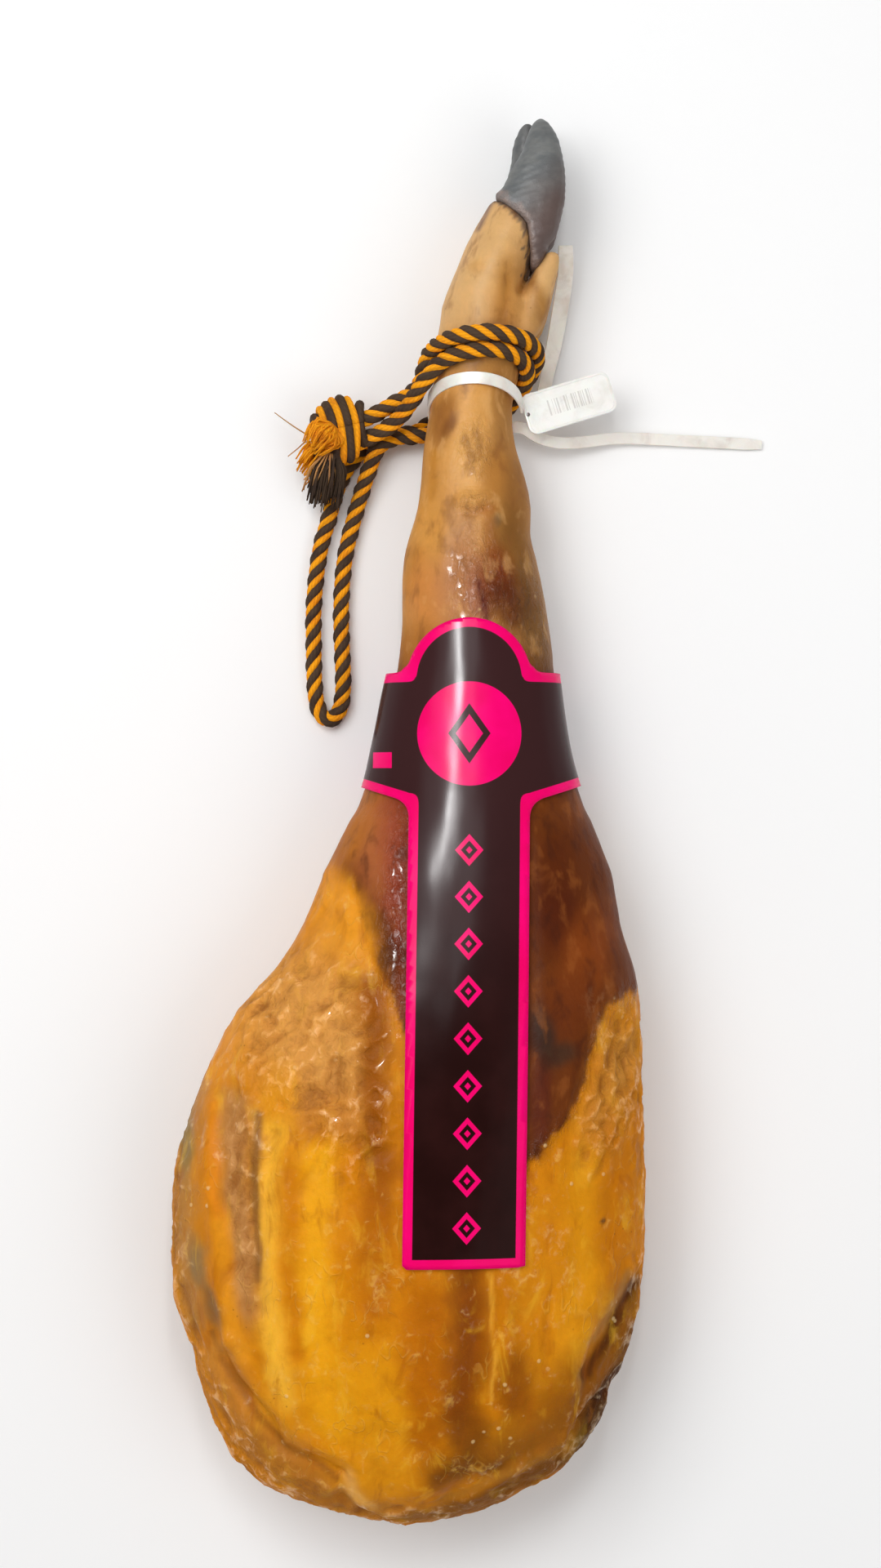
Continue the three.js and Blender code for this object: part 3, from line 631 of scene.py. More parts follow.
# colour, strength, and either a line with its half width or a middle with its reach and turn
patches = [
    # foot and shank
    ((184, 136, 80), 0.7, [(18, 526), (17, 496)], 4),
    ((158, 112, 66), 0.8, [(19.6, 518), (18.6, 506), (16.5, 494)], 1.6),
    # painted shade: the right side of the stub darker, and darker still in its crease
    ((166, 120, 72), 0.7, (36, 497), (5, 9), 0),
    ((172, 122, 68), 0.8, [(33, 520), (42, 500)], 3.5),
    ((92, 54, 38), 0.95, [(28, 512), (31, 518), (34, 524)], 2.0),
    ((206, 130, 108), 0.7, (34.3, 526.5), (1.8, 1.2), 0),
    ((200, 150, 92), 0.6, (2, 524), (4, 3.5), 0),
    ((112, 78, 78), 0.8, [(15, 571), (9, 562), (2, 549)], 1.4),
    ((150, 108, 62), 0.7, (6, 473), (26, 9), 0),
    ((190, 130, 66), 0.7, (19, 500), (10, 30), -10),
    ((224, 168, 102), 0.6, (-2, 438), (11, 20), 0),
    ((148, 92, 44), 0.8, (-17, 437), (6, 14), -12),
    ((128, 78, 42), 0.7, (-13, 433), (3, 7), -30),
    ((160, 112, 66), 0.7, (17, 440), (6, 24), 4),
    ((188, 124, 44), 0.6, [(-22, 418), (-24, 392)], 2.5),
    ((226, 170, 104), 0.7, (-3, 411), (9, 16), 0),
    ((170, 112, 54), 0.7, (14, 404), (9, 14), 0),
    ((146, 98, 56), 0.8, (25, 392), (7, 24), 0),
    # painted shade in the hock's dent
    ((172, 106, 50), 0.7, (6, 384), (8, 3), 10),
    ((200, 148, 104), 0.7, (-4, 372), (10, 12), 0),
    ((120, 108, 92), 0.75, (14, 378.5), (2.2, 3.6), 0),
    ((166, 104, 60), 0.7, (11, 366), (4, 16), 6),
    ((126, 82, 40), 0.85, (24, 356), (11, 28), 6),
    ((216, 152, 76), 0.6, (-27, 378), (8, 18), 12),
    ((186, 122, 48), 0.7, [(-33, 360), (-35, 338)], 4),
    ((204, 132, 74), 0.75, (-27, 334), (10, 20), 0),
    ((182, 122, 88), 0.8, (-6, 340), (13, 24), 0),
    ((168, 108, 92), 0.6, (2, 334), (6, 18), 0),
    ((134, 60, 28), 0.9, (13, 344), (9, 16), 0),
    ((96, 44, 24), 0.9, (21, 330), (11, 16), 20),
    ((98, 40, 40), 0.85, [(3, 342), (5, 334), (7, 322)], 1.8),
    ((104, 70, 42), 0.75, (35, 320), (8, 30), 8),
    ((176, 110, 46), 0.7, (-33, 302), (10, 16), 0),
    ((152, 106, 70), 0.5, [(30, 350), (36, 334)], 1.5),
    # between the label's arms and the fat
    ((180, 104, 66), 0.9, (-54, 196), (13, 30), 14),
    ((156, 72, 52), 0.9, (-43, 182), (9, 40), 8),
    ((136, 54, 38), 0.85, [(-40, 214), (-39, 150), (-37, 100)], 4.5),
    ((184, 112, 42), 0.85, [(-92, 174), (-80, 184), (-68, 204), (-60, 226)], 8),
    ((220, 140, 40), 0.8, [(-84, 176), (-72, 160), (-60, 128)], 6),
    ((116, 60, 24), 0.7, (50, 206), (14, 14), 0),
    ((92, 40, 16), 0.8, (48, 176), (16, 26), 0),
    ((104, 52, 24), 0.6, (70, 160), (10, 34), 16),
    ((86, 34, 16), 0.8, (46, 150), (12, 20), 0),
    ((140, 68, 26), 0.75, (62, 126), (13, 26), -20),
    ((112, 52, 22), 0.7, (52, 100), (14, 20), -20),
    ((94, 38, 26), 0.8, (36, 52), (5, 26), 0),
    ((62, 42, 38), 0.9, (38, 88), (6, 15), 10),
    ((70, 48, 40), 0.8, (47, 76), (8, 5), 10),
    # upper fat and the wrinkled patches
    ((234, 156, 46), 0.85, (-76, 150), (15, 26), 28),
    ((226, 146, 44), 0.85, (-136, 84), (12, 34), -28),
    ((222, 158, 86), 0.85, (-94, 92), (32, 42), 38),
    ((218, 154, 84), 0.7, (-74, 62), (18, 24), 0),
    ((202, 132, 58), 0.7, (-80, 42), (20, 14), 0),
    ((156, 84, 10), 0.92, [(-57, 112), (-53, 60), (-54, -8)], 8),
    ((232, 156, 36), 0.7, (-108, 46), (10, 22), 0),
    ((196, 130, 54), 0.85, (76, 54), (14, 34), -14),
    ((214, 150, 70), 0.6, (82, 70), (7, 14), -10),
    # broad upright bands of fat
    ((248, 184, 62), 0.95, [(-112, 34), (-114, -20), (-114, -60), (-106, -116)], 7),
    ((210, 126, 10), 0.7, (-82, -2), (17, 34), 0),
    ((244, 172, 30), 0.9, [(-86, 20), (-88, -30), (-86, -80), (-78, -130)], 9),
    ((184, 104, 6), 0.8, (-56, -30), (9, 34), 0),
    ((206, 124, 8), 0.75, [(-100, 10), (-101, -40), (-97, -90)], 3.2),
    ((230, 156, 22), 0.85, (-60, -118), (26, 34), 8),
    ((196, 112, 6), 0.7, (-30, -84), (11, 40), 0),
    ((186, 106, 6), 0.9, [(-26, -60), (-27, -110), (-26, -168)], 10),
    ((134, 66, 6), 0.92, [(-4, -40), (-3, -80), (-7, -124)], 11),
    ((198, 120, 10), 0.8, [(19, -46), (20, -78)], 7),
    ((146, 78, 6), 0.85, (24, -108), (10, 20), 0),
    ((212, 136, 14), 0.75, (54, -50), (24, 46), 6),
    ((226, 152, 22), 0.8, [(62, 10), (64, -30), (56, -72), (42, -104)], 9),
    ((192, 122, 12), 0.7, (22, -134), (10, 9), 0),
    ((164, 98, 12), 0.8, (50, -112), (14, 22), -24),
    ((128, 70, 12), 0.85, (-1, -136), (10, 14), 0),
    ((192, 112, 10), 0.6, (80, -10), (12, 46), 0),
    # strip, rims, folds and dark places, with painted shade along some edges and creases
    ((190, 132, 78), 1.0, [(-134, 46), (-132, 0), (-127, -40), (-128, -64)], 8.5),
    # painted shadow along the hollow strip's right edge
    ((140, 92, 50), 0.85, [(-121, 44), (-121, -6), (-119, -50)], 2.2),
    ((212, 154, 100), 0.5, [(-136, 30), (-135, -20), (-131, -58)], 2.4),
    ((226, 138, 32), 0.9, [(-146, 46), (-147, 0), (-143, -30)], 3.2),
    ((228, 150, 34), 0.9, [(-144, -20), (-139, -56), (-130, -92)], 4.5),
    ((180, 128, 74), 0.85, [(-158, 52), (-166, 20), (-166, -30), (-158, -74)], 7.5),
    ((140, 122, 84), 0.75, (-164, 26), (5, 20), 0),
    ((138, 116, 88), 0.75, (-156, -42), (5, 14), 10),
    ((120, 92, 66), 0.75, (-147, -66), (4, 12), 18),
    ((92, 60, 38), 0.85, [(-146, -82), (-141, -92)], 1.6),
    ((204, 136, 60), 0.85, [(-144, -94), (-128, -128), (-108, -150)], 10),
    ((196, 126, 48), 0.9, [(-140, -118), (-120, -146), (-96, -166), (-68, -186)], 11),
    ((220, 148, 34), 0.7, (-112, -126), (10, 14), 30),
    ((176, 112, 42), 0.85, [(-122, -144), (-100, -162), (-74, -176), (-46, -188)], 8),
    ((224, 148, 24), 0.85, (-52, -158), (24, 16), -10),
    ((240, 178, 96), 0.8, [(-72, -160), (-67, -172), (-56, -182)], 3.6),
    # painted shade along the lower-left crease
    ((150, 92, 34), 0.75, [(-140, -97), (-129, -114), (-108, -144), (-78, -162)], 1.8),
    ((236, 170, 60), 0.75, [(9, -43), (8.5, -70), (10.5, -96), (12, -114)], 1.1),
    ((184, 120, 50), 0.8, [(-50, -184), (-20, -188)], 8),
    ((116, 66, 18), 0.9, [(-18, -162), (0, -152), (16, -156)], 8),
    ((146, 88, 24), 0.9, [(18, -146), (44, -138), (64, -122)], 11),
    ((112, 66, 22), 0.9, [(-8, -184), (24, -170), (58, -152)], 9),
    ((172, 114, 44), 0.8, [(-18, -178), (8, -165), (34, -156), (56, -142)], 2.4),
    ((146, 92, 34), 0.85, [(-36, -190), (-14, -187), (10, -182)], 5),
    # painted shade darkening the lower right
    ((128, 76, 22), 0.85, [(88, -64), (80, -92), (70, -118)], 11),
    ((178, 124, 66), 0.8, [(90, -50), (78, -65), (66, -84)], 2.6),
    # painted shade along the upper lower-right crease
    ((84, 42, 14), 0.95, [(93, -57), (82, -71), (72, -88), (62, -104)], 4.2),
    ((112, 70, 28), 0.85, [(92, -84), (84, -100), (72, -120), (58, -144)], 4),
    ((82, 52, 32), 0.95, (75, -137), (12, 28), -33),
    # painted shade along the crease beside the flap
    ((70, 34, 16), 0.95, [(83, -108), (68, -127), (58, -144)], 2.4),
    ((84, 46, 20), 0.9, (73, -17.6), (1.5, 1.8), 0),
]


# damp, glossy places on the shank: middle, reach and strength
dampSpots = [
    ((4, 340), (16, 30), 0.9), ((32, 322), (12, 34), 0.7), ((0, 388), (9, 6), 0.9), ((2, 420), (10, 16), 0.8),
]
# the line where the horn meets the skin, seen from above
coronet = [(4, 572), (15.8, 563.8), (20.8, 559), (27, 554.3), (30.8, 549.8), (32, 542.6), (33, 533.5),
           (33, 520)]


def hoofDistance(p):
    return lineDistance(p[:, 0], p[:, 1], coronet)


def paintLeg(item):
    p, n = readMesh(item)
    warp = np.stack([roughField(p, 30, 51), roughField(p, 30, 52)], 1) * 5
    warp *= (0.35 + 0.65 * (1 - smoothStep(250, 340, p[:, 1])))[:, None]
    x, y = p[:, 0] + warp[:, 0], p[:, 1] + warp[:, 1]
    ragged = 1 + 0.35 * roughField(p, 9, 53)
    paint = np.tile(np.array(srgb(*legPaint["calf"])[:3]), (len(p), 1))

    def mixIn(color, mask):
        paint[:] = paint * (1 - mask[:, None]) + np.array(srgb(*color)[:3]) * mask[:, None]

    cut = aboveCut(x, y)
    mixIn(legPaint["shank"], smoothStep(280, 330, y))
    mixIn(legPaint["trotter"], smoothStep(455, 500, y))
    soft = 3 + 10 * (1 - smoothStep(-72, -40, x))
    cut = cut + 12 * roughField(p, 36, 55) * (1 - smoothStep(0.2, 0.6, n[:, 2]))
    mixIn(legPaint["fat"], 1 - smoothStep(-soft, soft, cut + 6 * roughField(p, 9, 54)))
    for color, share, place, reach, *turn in patches:
        if isinstance(place, list):
            mask = np.exp(-(lineDistance(x, y, place) / (reach * 1.2) * ragged) ** 2.4)
        else:
            mask = oval(x, y, place, [r * 1.1 for r in reach], turn[0], 0.6) ** ragged
        mixIn(color, mask * share)
    # the side away from the light: dark meat inside a rim of fat
    side = 1 - smoothStep(-0.6, -0.05, n[:, 2] + 0.2 * roughField(p, 22, 61))
    body = 1 - smoothStep(190, 260, p[:, 1])
    mixIn(legPaint["underFat"], side * body * 0.8)
    under = 1 - smoothStep(-0.93, -0.8, n[:, 2] + 0.12 * roughField(p, 26, 62))
    mixIn(legPaint["underMeat"], under * body)
    mixIn(legPaint["underShank"], side * (1 - body) * 0.4)
    nearHorn = hoofDistance(p) + 4.2 * roughField(p, 3.6, 65)
    mixIn(legPaint["coronet"], (1 - smoothStep(1.6, 2.4, nearHorn)) * 0.9)

    colors = np.ones((len(p), 4))
    colors[:, :3] = np.clip(paint, 0, 1) ** np.array(paintDepth)
    layer = item.data.attributes.new("paint", "FLOAT_COLOR", "POINT")
    layer.data.foreach_set("color", colors.ravel())
    top = smoothStep(-0.2, 0.3, n[:, 2])
    wet = np.exp(-((x + 44) / 11) ** 2) * smoothStep(90, 115, y) * (1 - smoothStep(205, 225, y)) * 0.7
    wet += np.exp(-(cut / 7) ** 2) * smoothStep(20, 30, x) * 0.9
    for at, reach, strength in dampSpots:
        wet += oval(x, y, at, reach, 0, 0.6) * strength
    crumpled = wrinkleMask(x, y) + oval(x, y, (-128, -2), (10, 56), 4, 0.3) + rimMask(x, y)
    masks = {
        "flake": np.clip(0.5 + 0.5 * flakes(p), 0, 1),
        "wrinkle": np.clip(crumpled, 0, 1) * top,
        "wet": np.clip(wet, 0, 1) * top,
        "fatty": (1 - smoothStep(-4, 2, cut)) * top,
        "meaty": under * body,
        "shanky": smoothStep(275, 320, p[:, 1]),
    }
    storeMasks(item, masks)


paintLeg(legPiece)
print("leg painted")


hoof = {"voxel": 1.0, "soften": 4, "rings": 0.1, "ringStep": 4.2, "swell": 1.1, "cleft": 1.8,
        "crown": (3, 5.5), "crownRough": 3.4, "heel": (-322, -296)}


# the distance from each point to another piece, in mm
def gapTo(node, p):
    tree = BVHTree.FromObject(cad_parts[node], bpy.context.evaluated_depsgraph_get())
    return np.array([tree.find_nearest(Vector(point))[3] for point in p * mm]) / mm


def makeClaw(node, other, name, seed, cleftWidth):
    item = remeshed(node, name, hoof["voxel"], hoof["soften"])
    p, n = readMesh(item)
    along = p[:, 0] * -0.4 + p[:, 1] * 0.9 + 3 * field(p, 20, seed)
    height = hoof["swell"] + hoof["rings"] * np.sin(2 * math.pi * along / hoof["ringStep"])
    height += 0.5 * roughField(p, 15, seed + 2) + 0.1 * roughField(p, 3, seed + 3)
    near = np.exp(-(hoofDistance(p) / 5) ** 2)
    height += near * (0.3 + 0.7 * roughField(p, 4, seed + 4))
    height *= smoothStep(0, 2.5, hoofDistance(p))
    cleft = np.exp(-(gapTo(other, p) / cleftWidth) ** 2)
    height -= hoof["cleft"] * cleft * smoothStep(-0.2, 0.4, n[:, 2])
    writeMesh(item, p + n * height[:, None])
    p, n = readMesh(item)
    slope = p[:, 0] * 0.8 - p[:, 1] * 0.6 + 6 * roughField(p, 22, seed + 5)
    edge = hoofDistance(p) + hoof["crownRough"] * roughField(p, 4.5, seed + 6)
    masks = {"crown": 1 - smoothStep(*hoof["crown"], edge), "heel": smoothStep(*hoof["heel"], slope),
             "cleft": cleft}
    storeMasks(item, masks)
    return item


clawPieces = [makeClaw("hoof_upper", "hoof_lower", "hoofFront", 71, 2.4),
              makeClaw("hoof_lower", "hoof_upper", "hoofBack", 81, 7)]
print("hoof shaped")


label = {
    "centre": -2.5, "archRadius": 35.3, "archCentre": 286.7, "archFillet": 5, "armTop": 291, "armInner": 217,
    "armOuter": 226, "flareFrom": 34, "flareOver": 30, "tongueHalf": 34, "tongueEnd": -40, "lean": -3.5,
    "fillet": 9, "frontAbove": 45, "border": 5.4, "thickness": 0.5, "columns": 220, "step": 1.6, "top": 326,
}
# the plain print: a disc with a lozenge, a column of lozenges and a small block at the side
labelPrint = {
    "discAt": 256, "disc": 29.5, "discMark": (12, 17), "pitch": 26, "shift": 17.5, "mark": (8, 9),
    "columnEnds": (-29, 205), "block": (-52, 241), "blockHalf": (5.5, 4.5),
}


# signed distance to the label's outline seen from above: negative inside
def labelOutline(x, y, z):
    u = x - label["centre"]
    arch = math.hypot(u, y - label["archCentre"]) - label["archRadius"]
    flare = max(0, abs(u) - label["flareFrom"]) / label["flareOver"]
    low = label["armInner"] + (label["armOuter"] - label["armInner"]) * flare
    arms = max(y - label["armTop"], low - y)
    share = max(0, min(1, (label["armInner"] - y) / (label["armInner"] - label["tongueEnd"])))
    side = abs(u - label["lean"] * share) - label["tongueHalf"]
    tongue = max(side, label["tongueEnd"] - y, y - label["armTop"])
    if z < label["frontAbove"]:
        return arms
    return softMin(softMin(arms, tongue, label["fillet"]), arch, label["archFillet"])


def softMin(a, b, reach):
    h = max(reach - abs(a - b), 0) / reach
    return min(a, b) - h * h * reach / 4


def labelPoint(y, degrees):
    up = max(0, min(1, (y - label["armOuter"]) / (label["armTop"] - label["armOuter"])))
    up = up * up * (3 - 2 * up)
    grow = [1.9 + 4 * up, 1.9 + up, 2.2, 2.2]
    return skinPoint(y, degrees, grow)


# moves a place on the rim onto the outline, a few steps down its slope
def slideToOutline(y, degrees):
    nudge, perDegree, ease = 0.2, 0.8, 0.9
    for _ in range(4):
        value = labelOutline(*labelPoint(y, degrees))
        dy = (labelOutline(*labelPoint(y + nudge, degrees)) - value) / nudge
        dt = (labelOutline(*labelPoint(y, degrees + nudge)) - value) / nudge
        size = dy * dy + (dt * perDegree) ** 2
        if size < 1e-6:
            break
        y -= value * dy / size * ease
        degrees -= value * dt * perDegree ** 2 / size * ease
    return labelPoint(max(label["tongueEnd"] - 1, min(label["top"] - 3, y)), degrees)


def makeLabel():
    columns, step, first = label["columns"], label["step"], label["tongueEnd"] - 4
    rows = [first + step * i for i in range(int((label["top"] - first) / step))]
    verts = [labelPoint(y, 360 * k / columns) for y in rows for k in range(columns)]
    gaps = [labelOutline(*v) for v in verts]
    faces, used = [], set()
    for r in range(len(rows) - 1):
        for k in range(columns):
            a, b = r * columns + k, r * columns + (k + 1) % columns
            ring = (a, a + columns, b + columns, b)
            if sum(gaps[i] for i in ring) / 4 < 0:
                faces.append(ring)
                used.update(ring)
    edges = {}
    for face in faces:
        for a, b in zip(face, face[1:] + face[:1]):
            edges[frozenset((a, b))] = edges.get(frozenset((a, b)), 0) + 1
    rim = {i for edge, count in edges.items() if count == 1 for i in edge}
    for i in rim:
        r, k = divmod(i, columns)
        verts[i] = slideToOutline(rows[r], 360 * k / columns)
    order = sorted(used)
    index = {old: new for new, old in enumerate(order)}
    item = meshPiece("labelSleeve", [verts[i] * mm for i in order], [[index[i] for i in f] for f in faces])
    pick(item)
    wall = item.modifiers.new("sheet", "SOLIDIFY")
    wall.thickness = label["thickness"] * mm
    wall.offset = 1
    applyAll(item)
    return item


labelPiece = makeLabel()
print("label wrapped")


strap = {"y": 447, "rise": 13.8, "skew": 2, "standOff": (1.9, 6.7, 2.1, 2.1), "from": 4, "to": 322,
         "steps": 34, "width": 7, "thickness": 1.3}
tailRoute = [(30.5, 436, 21.5), (38, 431.4, 21), (46, 429, 18.5), (56, 428.4, 14.5), (69, 430, 10),
             (83, 432, 6.5), (100, 432.2, 4), (136, 430.6, 2.2), (172, 428.8, 1.5)]


def strapPoint(degrees):
    t = math.radians(degrees)
    y = strap["y"] + strap["rise"] * math.sin(t) - strap["skew"] * math.cos(t)
    return skinPoint(y, degrees, strap["standOff"])


# a flat band along a line, with rounded edges
def bandMesh(name, line, acrossAt, widthAt, thickness):
    verts, faces, uvs = [], [], []
    corner = [(-1, -0.4), (-0.94, -1), (0.94, -1), (1, -0.4), (1, 0.4), (0.94, 1), (-0.94, 1), (-1, 0.4)]
    count, run = len(corner), 0.0
    for i, point in enumerate(line):
        if i:
            run += (point - line[i - 1]).length / mm
        along = (line[min(i + 1, len(line) - 1)] - line[max(i - 1, 0)]).normalized()
        share = i / (len(line) - 1)
        across = acrossAt(share)
        across = (across - along * across.dot(along)).normalized()
        normal = along.cross(across)
        half = widthAt(share) / 2
        for u, v in corner:
            verts.append(point + across * (half * u) + normal * (thickness / 2 * v))
            uvs.append((run, u * half / mm))
    for r in range(len(line) - 1):
        for k in range(count):
            a, b = r * count + k, r * count + (k + 1) % count
            faces.append((a, b, b + count, a + count))
    faces.append(tuple(reversed(range(count))))
    faces.append(tuple((len(line) - 1) * count + k for k in range(count)))
    item = meshPiece(name, verts, faces)
    storeUv(item, uvs)
    pick(item)
    bpy.ops.object.mode_set(mode="EDIT")
    bpy.ops.mesh.select_all(action="SELECT")
    bpy.ops.mesh.normals_make_consistent(inside=False)
    bpy.ops.object.mode_set(mode="OBJECT")
    bpy.ops.object.shade_smooth_by_angle(angle=math.radians(40))
    return item


def makeStrap():
    start, end, steps = strap["from"], strap["to"], strap["steps"]
    points = [strapPoint(start + (end - start) * i / steps) for i in range(steps + 1)]
    points += [Vector(p) for p in tailRoute]
    line = smoothLine([p * mm for p in points], 2 * mm)
    return bandMesh("strapSeal", line, lambda share: Vector((0, 1, 0)),
                    lambda share: strap["width"] * mm * (1 - 0.25 * max(0, share - 0.97) / 0.03),
                    strap["thickness"] * mm)


strapPiece = makeStrap()

flag = {"at": (30.6, 441.9, 33), "turn": 17.3, "tilt": 3, "long": 53.5, "high": 24.4, "thick": 1.5,
        "corner": 5.2, "rim": 1.3, "bars": (14, 41), "barsAt": 0.5, "barsHalf": 4.6}
lockHead = {"at": (5.5, 0, -1.9), "size": (9, 10, 3.8), "slotDepth": 2}
rivet = {"at": (1.9, 0.4), "radius": 1.1, "height": 0.7}


def easeEdges(item, width, segments, degrees):
    ease = item.modifiers.new("ease", "BEVEL")
    ease.width = width
    ease.segments = segments
    ease.limit_method = "ANGLE"
    ease.angle_limit = math.radians(degrees)


# selects the faces that pass a test, and leaves the piece in edit mode
def selectFaces(item, test):
    if item.mode == "EDIT":
        bpy.ops.object.mode_set(mode="OBJECT")
    bpy.context.tool_settings.mesh_select_mode = (False, False, True)
    for face in item.data.polygons:
        face.select = test(face)
    bpy.ops.object.mode_set(mode="EDIT")


def makeFlag():
    deselectAll()
    bpy.ops.mesh.primitive_cube_add(size=1, location=(flag["long"] / 2, 0, flag["thick"] / 2))
    item = bpy.context.object
    item.name = "sealFlag"
    item.scale = (flag["long"], flag["high"], flag["thick"])
    bpy.ops.object.transform_apply(location=True, rotation=False, scale=True)
    # round the plate's upright corners, then ease all its edges
    bpy.ops.object.mode_set(mode="EDIT")
    bpy.ops.mesh.select_all(action="DESELECT")
    bpy.ops.object.mode_set(mode="OBJECT")
    bpy.context.tool_settings.mesh_select_mode = (False, True, False)
    for edge in item.data.edges:
        a, b = (item.data.vertices[i].co for i in edge.vertices)
        edge.select = abs(a.z - b.z) > flag["thick"] * 0.5
    bpy.ops.object.mode_set(mode="EDIT")
    bpy.ops.mesh.bevel(offset=flag["corner"], offset_type="OFFSET", segments=7, affect="EDGES")
    # a slightly raised rim round the printed face
    selectFaces(item, lambda face: face.normal.z > 0.9)
    bpy.ops.mesh.inset(thickness=flag["rim"], depth=0)
    bpy.ops.mesh.inset(thickness=0.35, depth=-0.25)
    bpy.ops.object.mode_set(mode="OBJECT")
    easeEdges(item, 0.3, 2, 50)
    applyAll(item)
    placeOnSeal(item)
    return item


# moves a piece drawn in mm about the flag's left end to its place in metres
def placeOnSeal(item):
    item.scale = (mm, mm, mm)
    item.rotation_euler = (0, math.radians(flag["tilt"]), math.radians(flag["turn"]))
    item.location = Vector(flag["at"]) * mm
    settle(item)
    pick(item)
    bpy.ops.object.shade_smooth_by_angle(angle=math.radians(35))


def makeLockHead():
    deselectAll()
    bpy.ops.mesh.primitive_cube_add(size=1, location=lockHead["at"])
    item = bpy.context.object
    item.name = "sealHead"
    item.scale = lockHead["size"]
    bpy.ops.object.transform_apply(location=True, rotation=False, scale=True)
    # the slot that the strap's end passes through
    selectFaces(item, lambda face: face.normal.x > 0.9)
    bpy.ops.mesh.inset(thickness=1.0, depth=0)
    bpy.ops.mesh.inset(thickness=0.2, depth=-lockHead["slotDepth"])
    bpy.ops.object.mode_set(mode="OBJECT")
    easeEdges(item, 0.6, 3, 30)
    applyAll(item)
    placeOnSeal(item)
    return item


def makeRivet():
    deselectAll()
    bpy.ops.mesh.primitive_cylinder_add(vertices=20, radius=rivet["radius"], depth=rivet["height"],
                                        location=(*rivet["at"], flag["thick"]))
    item = bpy.context.object
    item.name = "sealRivet"
    easeEdges(item, 0.25, 2, 30)
    settle(item)
    applyAll(item)
    placeOnSeal(item)
    return item


flagPiece, headPiece, rivetPiece = makeFlag(), makeLockHead(), makeRivet()

stripRoute = [(41, 452, 12), (42.5, 461, 11.5), (45, 473, 12), (48.6, 489, 14), (52, 509, 18),
              (54.5, 527, 22), (54.5, 543, 26)]
strip = {"width": 7.5, "wider": 2.6, "thickness": 0.9, "tilt": (1, 0, -0.35)}


def makeStrip():
    line = smoothLine([Vector(p) * mm for p in stripRoute], 1.6 * mm)

    def widthAt(share):
        return (strip["width"] + strip["wider"] * math.sin(math.pi * min(1, share * 0.8))) * mm

    return bandMesh("looseStrip", line, lambda share: Vector(strip["tilt"]), widthAt, strip["thickness"] * mm)


stripPiece = makeStrip()
print("seal and strip made")


def newGroup(name, inputs, outputs):
    group = bpy.data.node_groups.new(name, "ShaderNodeTree")
    for socket, kind, value in inputs:
        made = group.interface.new_socket(socket, in_out="INPUT", socket_type=kind)
        if value is not None:
            made.default_value = value
    for socket, kind in outputs:
        group.interface.new_socket(socket, in_out="OUTPUT", socket_type=kind)
    return group, group.nodes.new("NodeGroupInput"), group.nodes.new("NodeGroupOutput")


class Tree:
    def __init__(self, tree):
        self.tree = tree

    def add(self, kind, inputs=None, **settings):
        node = self.tree.nodes.new("ShaderNode" + kind)
        for key, value in settings.items():
            setattr(node, key, value)
        for key, value in (inputs or {}).items():
            if isinstance(value, bpy.types.NodeSocket):
                self.tree.links.new(value, node.inputs[key])
            else:
                node.inputs[key].default_value = value
        return node

    def math(self, operation, a, b=0.0, c=0.0, clamp=False):
        return self.add("Math", {0: a, 1: b, 2: c}, operation=operation, use_clamp=clamp).outputs[0]

    def times(self, total, *values):
        for value in values:
            total = self.math("MULTIPLY", total, value)
        return total

    def plus(self, a, b, clamp=False):
        return self.math("ADD", a, b, clamp=clamp)

    def minus(self, a, b, clamp=False):
        return self.math("SUBTRACT", a, b, clamp=clamp)

    def highest(self, total, *values):
        for value in values:
            total = self.math("MAXIMUM", total, value)
        return total

    def place(self):
        return self.add("TexCoord").outputs["Object"]

    def masks(self, *names):
        return [self.add("Attribute", attribute_name=name).outputs["Fac"] for name in names]

    # lays a colour over another where every mask is high
    def tint(self, color, over, *masks):
        return self.mix(self.times(*masks), color, over)

    def mix(self, factor, a, b, blend="MIX"):
        return self.add("Mix", {0: factor, 6: a, 7: b}, data_type="RGBA", blend_type=blend).outputs[2]

    def ramp(self, value, low, high):
        return self.add("MapRange", {0: value, 1: low, 2: high, 3: 0.0, 4: 1.0},
                        interpolation_type="SMOOTHSTEP").outputs[0]

    def noise(self, vector, scale, detail=3.0, roughness=0.55, warp=0.0):
        return self.add("TexNoise", {"Vector": vector, "Scale": scale, "Detail": detail,
                                     "Roughness": roughness, "Distortion": warp}).outputs[0]

    def stretch(self, vector, scale, turn=0.0):
        return self.add("Mapping", {"Vector": vector, "Scale": scale, "Rotation": (0, 0, turn)}).outputs[0]

    def feed(self, shader, socket, value):
        self.tree.links.new(value, shader.inputs[socket])

    def bump(self, height, strength, distance, normal=None):
        inputs = {"Height": height, "Strength": strength, "Distance": distance}
        if normal is not None:
            inputs["Normal"] = normal
        return self.add("Bump", inputs).outputs[0]


def setSockets(shader, values):
    for socket, value in values.items():
        shader.inputs[socket].default_value = value


def newMaterial(name):
    material = bpy.data.materials.new(name)
    material.use_nodes = True
    tree = Tree(material.node_tree)
    shader = material.node_tree.nodes["Principled BSDF"]
    return material, tree, shader


# lighter and darker flecks and a fine height, for anything grown
def makeMottle():
    group, inside, outside = newGroup(
        "mottle", [("Vector", "NodeSocketVector", None), ("Size", "NodeSocketFloat", 60.0),
                   ("Amount", "NodeSocketFloat", 0.3)],
        [("Tone", "NodeSocketFloat"), ("Height", "NodeSocketFloat")])
    t = Tree(group)
    coarse = t.noise(inside.outputs[0], inside.outputs[1], 5, 0.6, 0.4)
    finer = t.noise(inside.outputs[0], t.times(inside.outputs[1], 5.0), 3, 0.6)
    both = t.plus(t.times(coarse, 0.7), t.times(finer, 0.3))
    tone = t.plus(t.times(t.minus(both, 0.5), t.times(inside.outputs[2], 2.0)), 1.0)
    group.links.new(tone, outside.inputs[0])
    group.links.new(both, outside.inputs[1])
    return group


